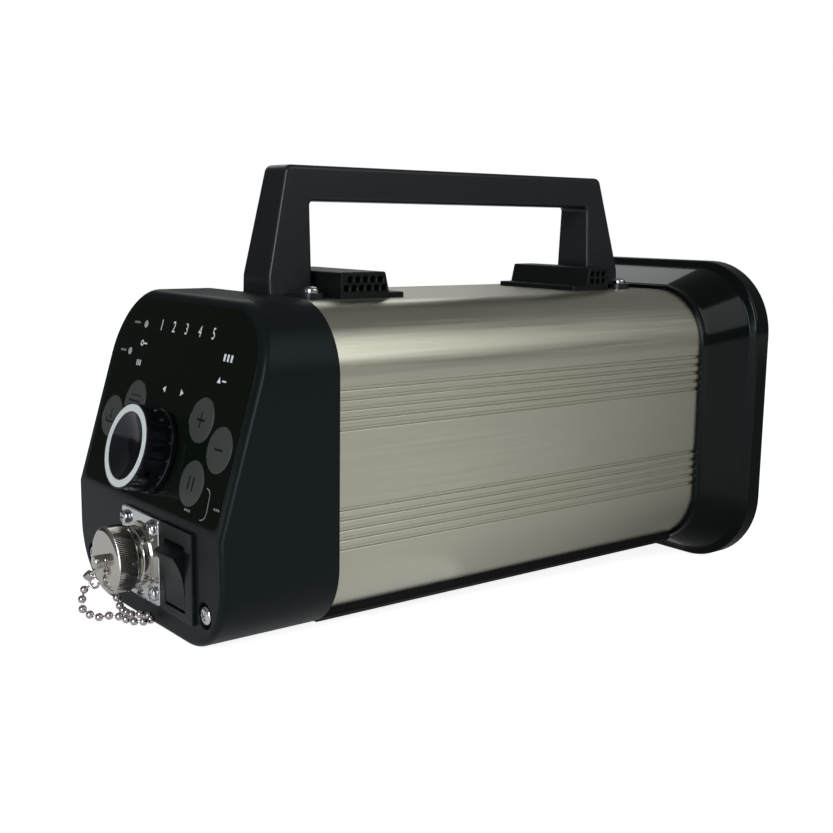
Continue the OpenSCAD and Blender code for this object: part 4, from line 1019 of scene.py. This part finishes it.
KNURL_R, KNURL_LEN, KNURLS = 10.5, 7.7, 110
cup = [(0, -0.22), (3.0, -0.20), (6.0, -0.12), (8.0, -0.03), (9.0, 0.04), (9.55, 0.18), (KNURL_R - 0.45, 0.55),
       (KNURL_R - 0.15, 0.85), (KNURL_R, 1.05), (KNURL_R, KNURL_LEN - 1.2), (KNURL_R - 0.2, KNURL_LEN - 0.9),
       (KNURL_R - 0.55, KNURL_LEN - 0.7), (KNURL_R - 0.55, KNURL_LEN - 0.1), (KNURL_R - 0.7, KNURL_LEN),
       (8.7, KNURL_LEN), (8.7, 1.3), (0, 1.3)]


def knurl(angle, k):
    """Ridges round the cup's side, shallower at both ends."""
    r, z = cup[k]
    if r < KNURL_R - 0.2 or not 0.8 <= z <= KNURL_LEN - 0.85:
        return 0.0
    a = (angle * KNURLS / (2 * math.pi)) % 1.0
    depth = 0.36 if 1.0 < z < KNURL_LEN - 1.1 else 0.12
    return -depth * (1 - abs(2 * a - 1))


# local Z of the cup runs from its outer face towards the lamp
cup_place = forward(CAP_OUT, 0, CONN_H)
stud = [(0, 0.6), (2.05, 0.6), (2.05, -0.34), (1.98, -0.42), (1.4, -0.44), (1.4, -1.68), (1.95, -1.70), (2.05, -1.78),
        (2.05, -3.28), (1.93, -3.42), (1.7, -3.46), (0, -3.5)]
cup_shape = lathe(cup, KNURLS * 6, knurl).moved(cup_place)
cup_shape.add(lathe(stud, 48), cup_place)
piece("dust_cup", cup_shape, "nickel", "dust_cap", ("dust_cap",), angle=34)

# ---------------- swivel and chain

SWIVEL_X = CAP_OUT - 1.06
CLASP = Vector((-138.7, 3.4, 12.4))
FERRULE, FERRULE_WAY = Vector((-140.1, 4.2, 14.9)), Vector((-1.2, 1.5, -1.9)).normalized()
LOOP_R, LOOP_STEPS = 1.5, 28


def turned_to(way):
    """Rotation that turns local Z along way."""
    return way.to_track_quat("Z", "Y").to_matrix().to_4x4()


# a ring on the stud, a wire from it to a grooved ferrule, and a wire loop that holds the chain
swivel = lathe([(1.48, -0.45), (1.55, -0.52), (2.0, -0.52), (2.1, -0.42), (2.1, 0.42), (2.0, 0.52), (1.55, 0.52),
                (1.48, 0.45)], 48).moved(forward(SWIVEL_X, 0, CONN_H))
neck = [Vector((SWIVEL_X, 0, CONN_H)) + Vector(p) for p in ((0, 0.9, -1.9), (-0.5, 1.7, -2.8), (-1.3, 2.8, -3.8))]
swivel.add(tube_along(neck + [FERRULE], 0.55, 12))
swivel.add(lathe([(0, -1.3), (1.0, -1.3), (1.25, -1.1), (1.3, -0.5), (1.08, -0.38), (1.3, -0.26), (1.3, 0.26),
                  (1.08, 0.38), (1.3, 0.5), (1.25, 1.1), (1.0, 1.3), (0, 1.3)], 32),
           Matrix.Translation(FERRULE) @ turned_to(FERRULE_WAY))
loop_angles = [2 * math.pi * k / LOOP_STEPS for k in range(LOOP_STEPS + 1)]
loop_wire = [Vector((LOOP_R * math.cos(a), LOOP_R * math.sin(a), 0)) for a in loop_angles]
loop_turn = Matrix.Translation(CLASP) @ frame_at((0, 0, 0), (-0.6, 0.75, 0.1), (0.1, 0.1, 1))
swivel.add(tube_along(loop_wire, 0.42, 12), loop_turn)
swivel.add(tube_along([FERRULE, CLASP + Vector((-0.7, 0.7, 1.1))], 0.45, 10))
piece("cup_swivel", swivel, "chain_nickel", "swivel", ("cap_swivel",), angle=40, weighted=False)

CHAIN = [(-140.4, 7.2, 9.6), (-141.8, 6, 6.5), (-142, 5, 4), (-140.5, 2.5, 2.6), (-138.5, 0.5, 2.1),
         (-135.5, -1, 2.5), (-133, -3, 2.1), (-132, -6.5, 1.7), (-130, -9.5, 1.6), (-127.5, -10.5, 1.8),
         (-125.4, -9, 1.6), (-125.7, -6.5, 2.2), (-127.5, -4, 2.2), (-129.2, -1.5, 1.7), (-129.3, 2, 1.6),
         (-129, 5.5, 1.5), (-128.7, 7.9, 2.4), (-128.9, 9.4, 4.6), (-127.6, 10.4, 7.0), (-125.8, 10.3, 9.2)]
CHAIN_PITCH, BEAD_R, LINK_R = 3.1, 1.3, 0.33


def walk(route, pitch):
    """Points about a pitch apart along the route, ends included."""
    pts = [Vector(p) for p in route]
    at = [0.0]
    for a, b in zip(pts, pts[1:]):
        at.append(at[-1] + (b - a).length)
    gaps = round(at[-1] / pitch)
    out = []
    for i in range(gaps + 1):
        d = at[-1] * i / gaps
        k = max(j for j in range(len(at) - 1) if at[j] <= d + 1e-9)
        out.append(pts[k].lerp(pts[k + 1], (d - at[k]) / (at[k + 1] - at[k])))
    return out


beads = walk(CHAIN, CHAIN_PITCH)
bead_angles = [math.radians(26 + 12.8 * k) for k in range(11)]
bead = lathe([(0.42, -1.14), (0.5, -1.17)] + [(BEAD_R * math.sin(a), -BEAD_R * math.cos(a)) for a in bead_angles]
             + [(0.5, 1.17), (0.42, 1.14), (0.42, 0)], 28)
chain = Shape()
for i, b in enumerate(beads):
    way = beads[min(i + 1, len(beads) - 1)] - beads[max(i - 1, 0)]
    chain.add(bead, Matrix.Translation(b) @ turned_to(way))
for a, b in zip([CLASP] + beads, beads):
    chain.add(tube_along([a.lerp(b, 0.1), a.lerp(b, 0.9)], LINK_R, 8))
chain_ob = piece("bead_links", chain, "chain_nickel", None, ("bead_chain",), angle=50, weighted=False)
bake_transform(chain_ob)

# ---------------- power switch

ROCKER_Y = SWITCH_Y + 0.6
BEZEL_T, BEZEL_HALF_W, BEZEL_HALF_H, BEZEL_SOFT = 1.3, 10.5, 14.0, 0.4
WELL_HALF_W, WELL_DOWN, WELL_UP, WELL_D, CHAMFER = 6.5, 11.3, 9.3, 7.5, 0.12
CASE_HALF_W, CASE_HALF_H, CASE_D = 9.2, 12.7, 17.0  # the switch's case behind the bezel
bezel_out = rect_outline(SWITCH_Y - BEZEL_HALF_W, SWITCH_Y + BEZEL_HALF_W,
                         CONN_H - BEZEL_HALF_H, CONN_H + BEZEL_HALF_H, 0.8, 4)
well = rect_outline(ROCKER_Y - WELL_HALF_W, ROCKER_Y + WELL_HALF_W, CONN_H - WELL_DOWN, CONN_H + WELL_UP, 0.5, 4)
case = rect_outline(SWITCH_Y - CASE_HALF_W, SWITCH_Y + CASE_HALF_W, CONN_H - CASE_HALF_H, CONN_H + CASE_HALF_H)
face = FLANGE_X - BEZEL_T


def at_x(steps):
    """Rings across X from (x, outline in (y, z)) pairs."""
    return [[(x, p.x, p.y) for p in outline] for x, outline in steps]


bezel = Shape().rings(at_x([
    (FLANGE_X, bezel_out), (face + BEZEL_SOFT, bezel_out), (face + CHAMFER, inset(bezel_out, CHAMFER)),
    (face, inset(bezel_out, BEZEL_SOFT)), (face, inset(well, -CHAMFER)), (face + CHAMFER, well),
    (face + WELL_D, well)]), caps=(False, True))
bezel.rings(at_x([(FLANGE_X + 0.01, case), (FLANGE_X + CASE_D, case)]), caps=(False, True))
piece("switch_bezel", bezel, "switch_black", stands_for=("switch_housing",))

PIVOT = Vector((REAR_X + 2.6, ROCKER_Y, CONN_H))
# (X, Z) about the pivot: long hollowed lower half, sharp ridge, steep upper half
hollowed = [(-3.62, -10.5), (-3.64, -9.0), (-3.70, -6.5), (-3.85, -4.0), (-4.1, -1.8), (-4.55, 0.2), (-5.25, 2.1),
            (-6.1, 4.0), (-7.15, 5.75)]
steep = [(-7.2, 6.1), (-6.9, 6.35), (-4.6, 7.55), (-1.5, 8.95), (2.5, 8.4)]
rear = [(6, 3), (6, -3), (2.5, -9.3)]
rocker = prism([Vector(p) for p in hollowed + steep + rear], -6.38, 6.2, 0.15, 0.15)
# prism local (x, y, z) -> (X, Z, -Y)
rocker.moved(Matrix.Translation(PIVOT) @ frame_at((0, 0, 0), (1, 0, 0), (0, 0, 1)))
piece("rocker_key", rocker, "switch_black", "rocker", ("switch_rocker",), angle=26)
